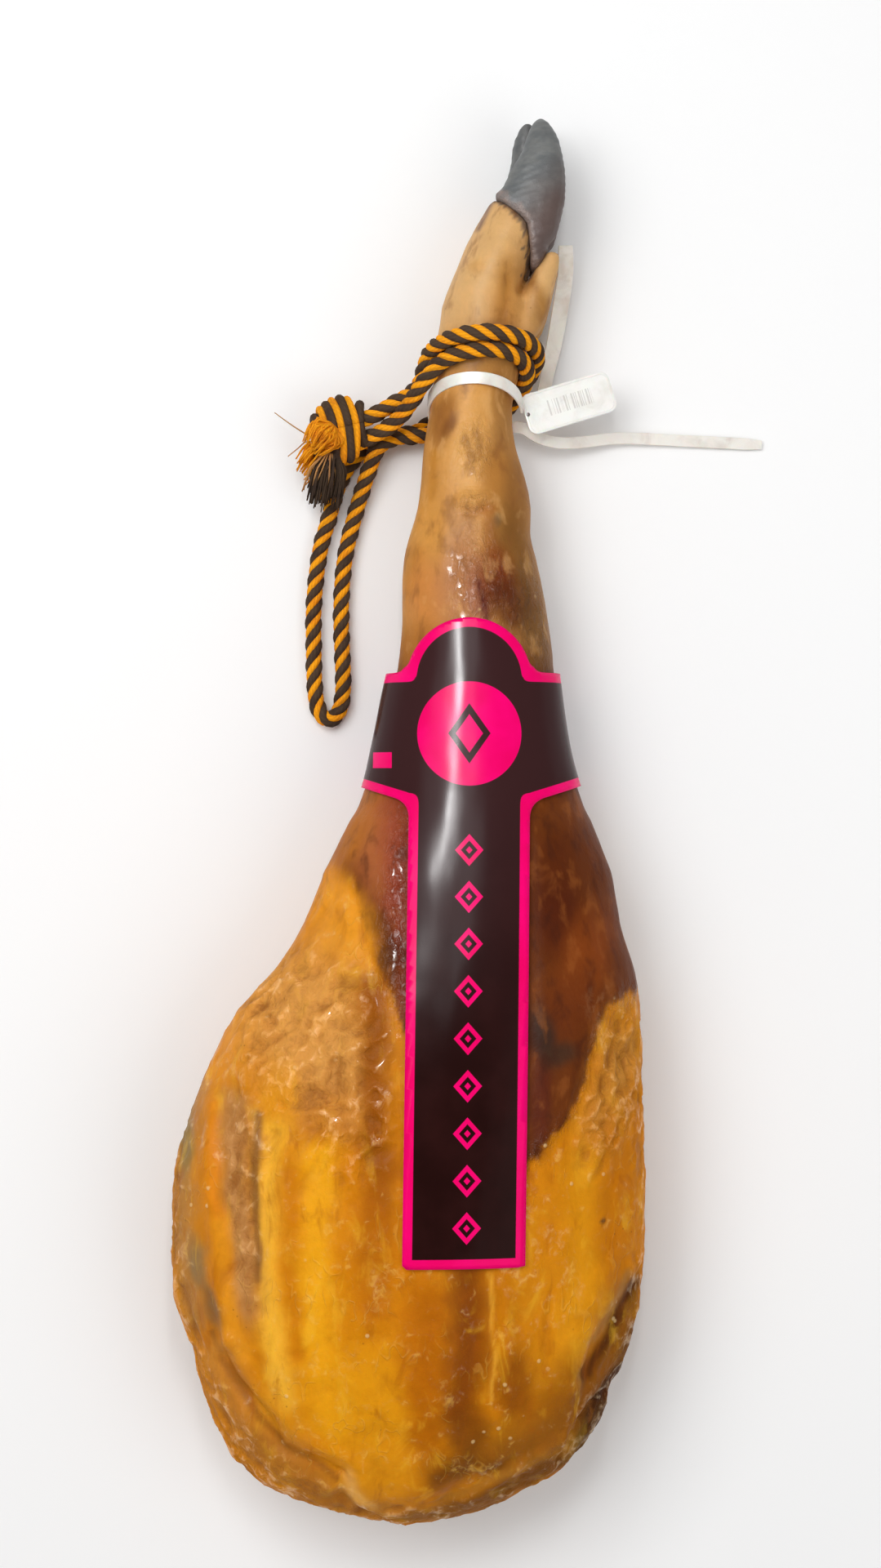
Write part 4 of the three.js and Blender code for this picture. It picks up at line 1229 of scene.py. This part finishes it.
# fine twisted fibre along a strand: reads the piece's own UV, in mm along and turns round
def makeFibre():
    group, inside, outside = newGroup(
        "fibre", [("Vector", "NodeSocketVector", None), ("Pitch", "NodeSocketFloat", 3.0)],
        [("Tone", "NodeSocketFloat"), ("Height", "NodeSocketFloat")])
    t = Tree(group)
    parts = t.add("SeparateXYZ", {0: inside.outputs[0]}).outputs
    slant = t.plus(t.math("DIVIDE", parts[0], inside.outputs[1]), t.times(parts[1], 5.0))
    wave = t.math("SINE", t.times(slant, 2 * math.pi))
    hair = t.noise(t.stretch(inside.outputs[0], (0.9, 26, 1)), 1.0, 4, 0.7)
    height = t.plus(t.times(wave, 0.22), hair)
    tone = t.plus(t.times(t.minus(height, 0.5), 0.5), 1.0)
    group.links.new(tone, outside.inputs[0])
    group.links.new(height, outside.inputs[1])
    return group


def useGroup(t, group, **values):
    node = t.tree.nodes.new("ShaderNodeGroup")
    node.node_tree = group
    for key, value in values.items():
        if isinstance(value, bpy.types.NodeSocket):
            t.tree.links.new(value, node.inputs[key])
        else:
            node.inputs[key].default_value = value
    return node.outputs


mottle, fibre = makeMottle(), makeFibre()


def scaled(t, color, tone):
    bright = t.add("CombineXYZ", {0: tone, 1: tone, 2: tone}).outputs[0]
    return t.mix(1.0, color, bright, "MULTIPLY")


def legMaterial():
    material, t, shader = newMaterial("curedSkin")
    place = t.place()
    paint = t.add("Attribute", attribute_name="paint").outputs["Color"]
    flake, wrinkle, wet, fatty, meaty, shanky = t.masks("flake", "wrinkle", "wet", "fatty", "meaty", "shanky")
    skin = useGroup(t, mottle, Vector=place, Size=70.0, Amount=0.2)
    color = scaled(t, paint, skin["Tone"])
    # the fat clouds between yellow and burnt orange, drawn out along the leg
    cloud = t.noise(t.stretch(place, (60, 24, 50)), 1.0, 4, 0.6, 0.8)
    smooth = t.times(fatty, t.minus(1.0, t.times(wrinkle, 0.6)))
    color = t.tint(color, srgb(248, 190, 48), t.ramp(cloud, 0.52, 0.72), smooth, 0.35)
    color = t.tint(color, srgb(168, 88, 6), t.ramp(cloud, 0.46, 0.28), smooth, 0.5)
    # curled pale flecks, painted partly as highlight for small glints on the fat, with a small bump
    fleckAndGlint = t.noise(t.stretch(place, (110, 64, 100)), 1.0, 1.0, 0.5, 0.5)
    fleckAndGlint = t.ramp(t.math("ABSOLUTE", t.minus(fleckAndGlint, 0.5)), 0.035, 0.0)
    where = t.ramp(t.noise(place, 42.0, 3, 0.6), 0.5, 0.64)
    fleckAndGlint = t.times(fleckAndGlint, where, smooth)
    color = t.tint(color, srgb(250, 192, 84), fleckAndGlint, 0.18)
    # brown clouds on the shank
    stain = t.noise(t.stretch(place, (84, 44, 84)), 1.0, 3, 0.55, 0.3)
    color = t.tint(color, srgb(130, 80, 40), t.ramp(stain, 0.5, 0.3), shanky, 0.5)
    color = t.tint(color, srgb(232, 178, 112), t.ramp(stain, 0.56, 0.72), shanky, 0.35)
    # dark meat beside the label
    meat = t.minus(t.minus(1.0, fatty), shanky, clamp=True)
    color = t.tint(color, srgb(62, 26, 14), t.ramp(stain, 0.5, 0.3), meat, 0.5)
    color = t.tint(color, srgb(160, 90, 38), t.ramp(stain, 0.53, 0.7), meat, 0.35)
    # flaky patches: crests painted pale as painted highlight over valleys painted darker as painted shade
    grit = t.noise(t.stretch(place, (220, 180, 220)), 1.0, 3, 0.6, 0.8)
    relief = t.plus(flake, t.times(t.minus(grit, 0.5), 0.7))
    crest = t.mix(0.22, scaled(t, color, 1.35), srgb(250, 214, 160))
    color = t.tint(color, crest, t.ramp(relief, 0.8, 1.02), wrinkle, 0.75)
    color = t.tint(color, srgb(142, 84, 30), t.ramp(relief, 0.82, 0.3), wrinkle, 0.7)
    # the same painted shade in valleys and painted highlight on crests, fainter, on the smooth fat
    color = t.tint(color, srgb(164, 88, 6), t.ramp(relief, 0.8, 0.2), smooth, 0.25)
    color = t.tint(color, srgb(250, 196, 80), t.ramp(relief, 0.92, 1.08), smooth, 0.3)
    # small brown freckles
    speck = t.ramp(t.add("TexVoronoi", {"Vector": place, "Scale": 190.0}).outputs[0], 0.15, 0.05)
    rare = t.ramp(t.noise(place, 40.0, 2), 0.55, 0.68)
    color = t.tint(color, srgb(104, 52, 18), speck, rare, 0.45)
    # beads of melted fat, raised and glossy, each also painted pale as a painted highlight
    beadAndGlint = t.add("TexVoronoi", {"Vector": place, "Scale": 105.0}).outputs[0]
    beadHere = t.ramp(t.noise(place, 24.0, 2), t.minus(0.56, t.times(wet, 0.2)), 0.62)
    beadAndGlint = t.times(t.ramp(beadAndGlint, 0.17, 0.08), beadHere)
    beadAndGlint = t.times(beadAndGlint, t.highest(t.times(smooth, 0.8), wet))
    color = t.tint(color, srgb(250, 214, 150), beadAndGlint, 0.55)
    t.feed(shader, "Base Color", color)
    grain = t.noise(place, 900.0, 3, 0.6)
    crackle = t.noise(t.stretch(place, (330, 200, 330)), 1.0, 3, 0.6, 0.8)
    normal = t.bump(skin["Height"], 0.5, 0.0012)
    normal = t.bump(t.times(relief, wrinkle), 0.9, 0.0024, normal)
    normal = t.bump(t.times(crackle, wet), 0.9, 0.0035, normal)
    normal = t.bump(t.plus(beadAndGlint, fleckAndGlint), 0.5, 0.0009, normal)
    t.feed(shader, "Normal", t.bump(grain, 0.2, 0.0005, normal))
    rough = t.plus(0.34, t.times(skin["Height"], 0.16))
    rough = t.plus(rough, t.times(wrinkle, 0.2))
    rough = t.plus(rough, t.times(meaty, 0.2))
    t.feed(shader, "Roughness", t.minus(rough, t.times(t.highest(wet, beadAndGlint), 0.24), clamp=True))
    sheen = t.times(wet, 0.6, t.ramp(crackle, 0.5, 0.68))
    gloss = t.highest(sheen, beadAndGlint, t.times(fatty, t.ramp(relief, 0.85, 1.0)))
    t.feed(shader, "Coat Weight", t.times(gloss, 0.5))
    setSockets(shader, {"Coat Roughness": 0.16, "Specular IOR Level": 0.06, "Subsurface Weight": 0.08,
                        "Subsurface Radius": (1.0, 0.4, 0.1), "Subsurface Scale": 0.004})
    return material


def hoofMaterial():
    material, t, shader = newMaterial("slateHorn")
    place = t.place()
    crown, heel, cleft = t.masks("crown", "heel", "cleft")
    horn = useGroup(t, mottle, Vector=place, Size=90.0, Amount=0.22)
    streak = t.noise(t.stretch(place, (60, 160, 120), 0.5), 1.0, 4, 0.6)
    color = t.mix(t.ramp(streak, 0.35, 0.7), srgb(94, 97, 98), srgb(112, 113, 111))
    color = t.tint(color, srgb(92, 72, 66), heel, 0.9)
    # the flaky crown beside the skin
    flakes = t.ramp(t.noise(place, 240.0, 3, 0.7), 0.35, 0.65)
    color = t.tint(color, srgb(142, 124, 116), crown, t.plus(0.4, t.times(flakes, 0.5)))
    # the gap between the claws, darkened as painted shade
    color = t.tint(scaled(t, color, horn["Tone"]), srgb(58, 50, 48), cleft, 0.85)
    t.feed(shader, "Base Color", color)
    normal = t.bump(horn["Height"], 0.5, 0.0008)
    normal = t.bump(flakes, t.times(crown, 0.6), 0.0006, normal)
    t.feed(shader, "Normal", t.bump(t.noise(place, 1400.0, 2), 0.25, 0.0004, normal))
    t.feed(shader, "Roughness", t.plus(0.42, t.times(streak, 0.2)))
    setSockets(shader, {"Specular IOR Level": 0.3})
    return material


def labelMaterial():
    material, t, shader = newMaterial("printedSheet")
    place = t.place()
    inMm = t.add("VectorMath", {0: place, 3: 1 / mm}, operation="SCALE").outputs[0]
    x, y, z = t.add("SeparateXYZ", {0: inMm}).outputs

    def reachFrom(across, centre):
        dy = t.minus(y, centre)
        return t.math("SQRT", t.plus(t.times(across, across), t.times(dy, dy)))

    def apart(value, middle):
        return t.math("ABSOLUTE", t.minus(value, middle))

    def lozenge(across, up, size):
        return t.plus(t.math("DIVIDE", across, size[0]), t.math("DIVIDE", up, size[1]))

    # the outline again, for the bright border inside it
    u = t.minus(x, label["centre"])
    far = t.math("ABSOLUTE", u)
    arch = t.minus(reachFrom(u, label["archCentre"]), label["archRadius"])
    slope = (label["armOuter"] - label["armInner"]) / label["flareOver"]
    flare = t.highest(t.minus(far, label["flareFrom"]), 0.0)
    low = t.plus(t.times(flare, slope), label["armInner"])
    arms = t.highest(t.minus(y, label["armTop"]), t.minus(low, y))
    lean = t.add("MapRange", {0: y, 1: label["armInner"], 2: label["tongueEnd"], 3: 0.0,
                              4: label["lean"]}).outputs[0]
    tongue = t.highest(t.minus(apart(u, lean), label["tongueHalf"]), t.minus(label["tongueEnd"], y),
                       t.minus(y, label["armTop"]))
    front = t.math("SMOOTH_MIN", arms, tongue, label["fillet"])
    front = t.math("SMOOTH_MIN", front, arch, label["archFillet"])
    isFront = t.math("GREATER_THAN", z, label["frontAbove"])
    gap = t.plus(t.times(front, isFront), t.times(arms, t.minus(1.0, isFront)))
    border = t.ramp(gap, -label["border"] - 0.25, -label["border"] + 0.25)
    # a plain disc with a lozenge in it
    disc = t.ramp(reachFrom(u, labelPrint["discAt"]), labelPrint["disc"] + 0.2, labelPrint["disc"] - 0.2)
    disc = t.times(disc, isFront)
    big = lozenge(far, apart(y, labelPrint["discAt"]), labelPrint["discMark"])
    discMark = t.times(t.ramp(big, 1.02, 0.98), t.ramp(big, 0.62, 0.66))
    disc = t.minus(disc, t.times(discMark, isFront), clamp=True)
    # a column of plain lozenges down the tongue
    column = apart(u, t.times(lean, 0.6))
    beat = t.math("PINGPONG", t.plus(y, labelPrint["shift"]), labelPrint["pitch"] / 2)
    small = lozenge(column, beat, labelPrint["mark"])
    marks = t.times(t.ramp(small, 1.02, 0.97), t.ramp(small, 0.55, 0.62))
    marks = t.plus(marks, t.ramp(small, 0.26, 0.2), clamp=True)
    lowEnd, highEnd = labelPrint["columnEnds"]
    marks = t.times(marks, t.math("LESS_THAN", y, highEnd), t.math("GREATER_THAN", y, lowEnd), isFront)
    # a small plain block at the side
    block = t.times(*(t.math("LESS_THAN", apart(value, middle), half)
                      for value, middle, half in zip((x, y), labelPrint["block"], labelPrint["blockHalf"])))
    cloud = t.noise(place, 30.0, 3)
    ground = t.mix(t.ramp(cloud, 0.3, 0.8), srgb(32, 8, 6), srgb(44, 15, 13))
    # the dark ground lightened towards the head as a painted sheen
    ground = t.mix(t.ramp(y, 40.0, 260.0), ground, srgb(58, 32, 33))
    pink = t.mix(t.ramp(cloud, 0.3, 0.8), srgb(240, 0, 100), srgb(255, 0, 122))
    t.feed(shader, "Base Color", t.mix(t.highest(border, disc, marks, block), ground, pink))
    normal = t.bump(t.noise(t.stretch(place, (26, 9, 20)), 1.0, 2), 0.35, 0.004)
    t.feed(shader, "Normal", t.bump(t.noise(place, 1500.0, 2), 0.05, 0.0003, normal))
    t.feed(shader, "Roughness", t.plus(0.16, t.times(cloud, 0.12)))
    setSockets(shader, {"Specular IOR Level": 0.06})
    return material


def ropeMaterial(name, color, dark):
    material, t, shader = newMaterial(name)
    run = t.add("UVMap", uv_map="run").outputs[0]
    twist = useGroup(t, fibre, Vector=run, Pitch=3.2)
    worn = t.noise(t.place(), 90.0, 3)
    base = t.mix(t.ramp(worn, 0.45, 0.75), color, dark)
    t.feed(shader, "Base Color", scaled(t, base, twist["Tone"]))
    t.feed(shader, "Normal", t.bump(twist["Height"], 0.7, 0.0005))
    setSockets(shader, {"Roughness": 0.85, "Specular IOR Level": 0.15})
    return material


def plasticMaterial(name, color, shadeColor):
    material, t, shader = newMaterial(name)
    place = t.place()
    haze = t.noise(place, 70.0, 4, 0.6, 0.5)
    base = t.mix(t.ramp(haze, 0.4, 0.75), color, shadeColor)
    t.feed(shader, "Base Color", base)
    t.feed(shader, "Normal", t.bump(t.noise(place, 600.0, 2), 0.15, 0.0004))
    t.feed(shader, "Roughness", t.plus(0.3, t.times(haze, 0.2)))
    setSockets(shader, {"Subsurface Weight": 0.25, "Subsurface Scale": 0.003})
    return material, t, shader, base


# faint grey bars of random widths across the flag's middle
def flagMaterial():
    material, t, shader, base = plasticMaterial("printedPlastic", srgb(238, 238, 234), srgb(222, 221, 214))
    left, bottom, _ = flag["at"]
    turned = t.add("Mapping", {"Vector": t.place(), "Location": (-left * mm, -bottom * mm, 0)},
                   vector_type="POINT").outputs[0]
    turned = t.add("Mapping", {"Vector": turned, "Rotation": (0, 0, -math.radians(flag["turn"])),
                               "Scale": (1 / mm,) * 3}, vector_type="POINT").outputs[0]
    x, y, _ = t.add("SeparateXYZ", {0: turned}).outputs
    bars = t.ramp(t.noise(t.add("CombineXYZ", {0: x}).outputs[0], 0.9, 1), 0.5, 0.53)
    first, last = flag["bars"]
    within = t.times(t.math("GREATER_THAN", x, first), t.math("LESS_THAN", x, last))
    high = t.math("LESS_THAN", t.math("ABSOLUTE", t.minus(y, flag["barsAt"])), flag["barsHalf"])
    t.feed(shader, "Base Color", t.tint(base, srgb(150, 144, 138), bars, within, high, 0.42))
    return material


orangeYarn = ropeMaterial("orangeYarn", srgb(255, 166, 8), srgb(236, 140, 8))
darkYarn = ropeMaterial("darkYarn", srgb(76, 58, 42), srgb(58, 42, 34))
strayYarn = ropeMaterial("strayYarn", srgb(206, 150, 90), srgb(180, 126, 80))
horn = hoofMaterial()
clearStrap = plasticMaterial("milkyPlastic", srgb(236, 232, 224), srgb(214, 206, 196))[0]
stripPlastic = plasticMaterial("dullPlastic", srgb(240, 234, 224), srgb(216, 206, 192))[0]
darkMetal = plasticMaterial("rivetShade", srgb(92, 80, 76), srgb(70, 60, 58))[0]

# each piece, its slot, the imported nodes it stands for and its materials
finishes = [
    (ropePiece, "rope", ["rope"], [darkYarn, orangeYarn]),
    (knotPiece, "rope", ["rope_knot"], [darkYarn, orangeYarn]),
    (knotCore, "rope", [], [darkYarn]),
    (tuftPieces["orangeTuft"], "yarn", ["frayed_end_upper"], [orangeYarn]),
    (tuftPieces["orangeFray"], "yarn", [], [orangeYarn]),
    (tuftPieces["darkFray"], "dark_yarn", ["frayed_end_lower"], [darkYarn]),
    (tuftPieces["strayYarns"], "yarn", [], [strayYarn]),
    (tuftPieces["paleFray"], "yarn", [], [strayYarn]),
    (legPiece, "skin", ["cured_leg"], [legMaterial()]),
    (clawPieces[0], "hoof", ["hoof_upper"], [horn]),
    (clawPieces[1], "hoof", ["hoof_lower"], [horn]),
    (labelPiece, "label", ["label_sleeve"], [labelMaterial()]),
    (strapPiece, "seal", ["seal_strap"], [clearStrap]),
    (flagPiece, "seal", ["seal_flag"], [flagMaterial()]),
    (headPiece, "seal", [], [clearStrap]),
    (rivetPiece, "seal", [], [darkMetal]),
    (stripPiece, "strip", ["loose_strip"], [stripPlastic]),
]
for item, slot, nodes, materials in finishes:
    for material in materials:
        item.data.materials.append(material)
    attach(item, "root")
    if nodes:
        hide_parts(*nodes)
print("materials set")


studio = {"floor": (250, 250, 250), "floorSize": 8, "floorAt": (0, 0.2, -0.0004), "air": 0.44}
# where each soft lamp hangs, what it faces and its size, in m, and its power in W
lamps = [
    ("keyLight", (-0.9, 0.9, 1.9), (0, 0.2, 0.05), (1.6, 1.2), 22),
    ("fillLight", (1.2, -0.5, 1.8), (0, 0.2, 0.05), (1.8, 1.4), 9),
    ("streakLight", (0.02, 0.75, 1.5), (0, 0.3, 0.08), (0.12, 0.5), 3),
]
glareLamp = {"y": 222, "turn": 100, "away": 0.9, "size": (0.03, 0.045), "power": 12}


def areaLight(name, at, target, size, power):
    bpy.ops.object.light_add(type="AREA", location=at)
    item = bpy.context.object
    item.name = name
    item.data.shape = "RECTANGLE"
    item.data.size, item.data.size_y = size
    item.data.energy = power
    item.rotation_euler = (Vector(target) - Vector(at)).to_track_quat("-Z", "Y").to_euler()
    return item


def makeFloor():
    deselectAll()
    bpy.ops.mesh.primitive_plane_add(size=studio["floorSize"], location=studio["floorAt"])
    floor = bpy.context.object
    floor.name = "floor"
    settle(floor)
    material, _, shader = newMaterial("paleFloor")
    setSockets(shader, {"Base Color": srgb(*studio["floor"]), "Roughness": 0.9})
    floor.data.materials.append(material)


# a narrow lamp where the label's head mirrors it towards the camera
def makeGlare():
    y, turn = glareLamp["y"], glareLamp["turn"]

    def skinAt(up, around):
        return skinPoint(y + up, turn + around, (1.5,) * 4) * mm

    spot = skinAt(0, 0)
    facing = (skinAt(0, -1) - skinAt(0, 1)).cross(skinAt(4, 0) - skinAt(-4, 0)).normalized()
    view = (bpy.context.scene.camera.location - spot).normalized()
    away = 2 * facing.dot(view) * facing - view
    place = spot + away * glareLamp["away"]
    glare = areaLight("glareLight", place, spot, glareLamp["size"], glareLamp["power"])
    glare.visible_diffuse = False


def makeAir():
    world = bpy.data.worlds.new("air")
    bpy.context.scene.world = world
    world.use_nodes = True
    setSockets(world.node_tree.nodes["Background"], {"Color": (1, 1, 1, 1), "Strength": studio["air"]})
    bpy.context.scene.view_settings.view_transform = "Standard"


makeFloor()
for lamp in lamps:
    areaLight(*lamp)
makeGlare()
makeAir()
print("studio lit")
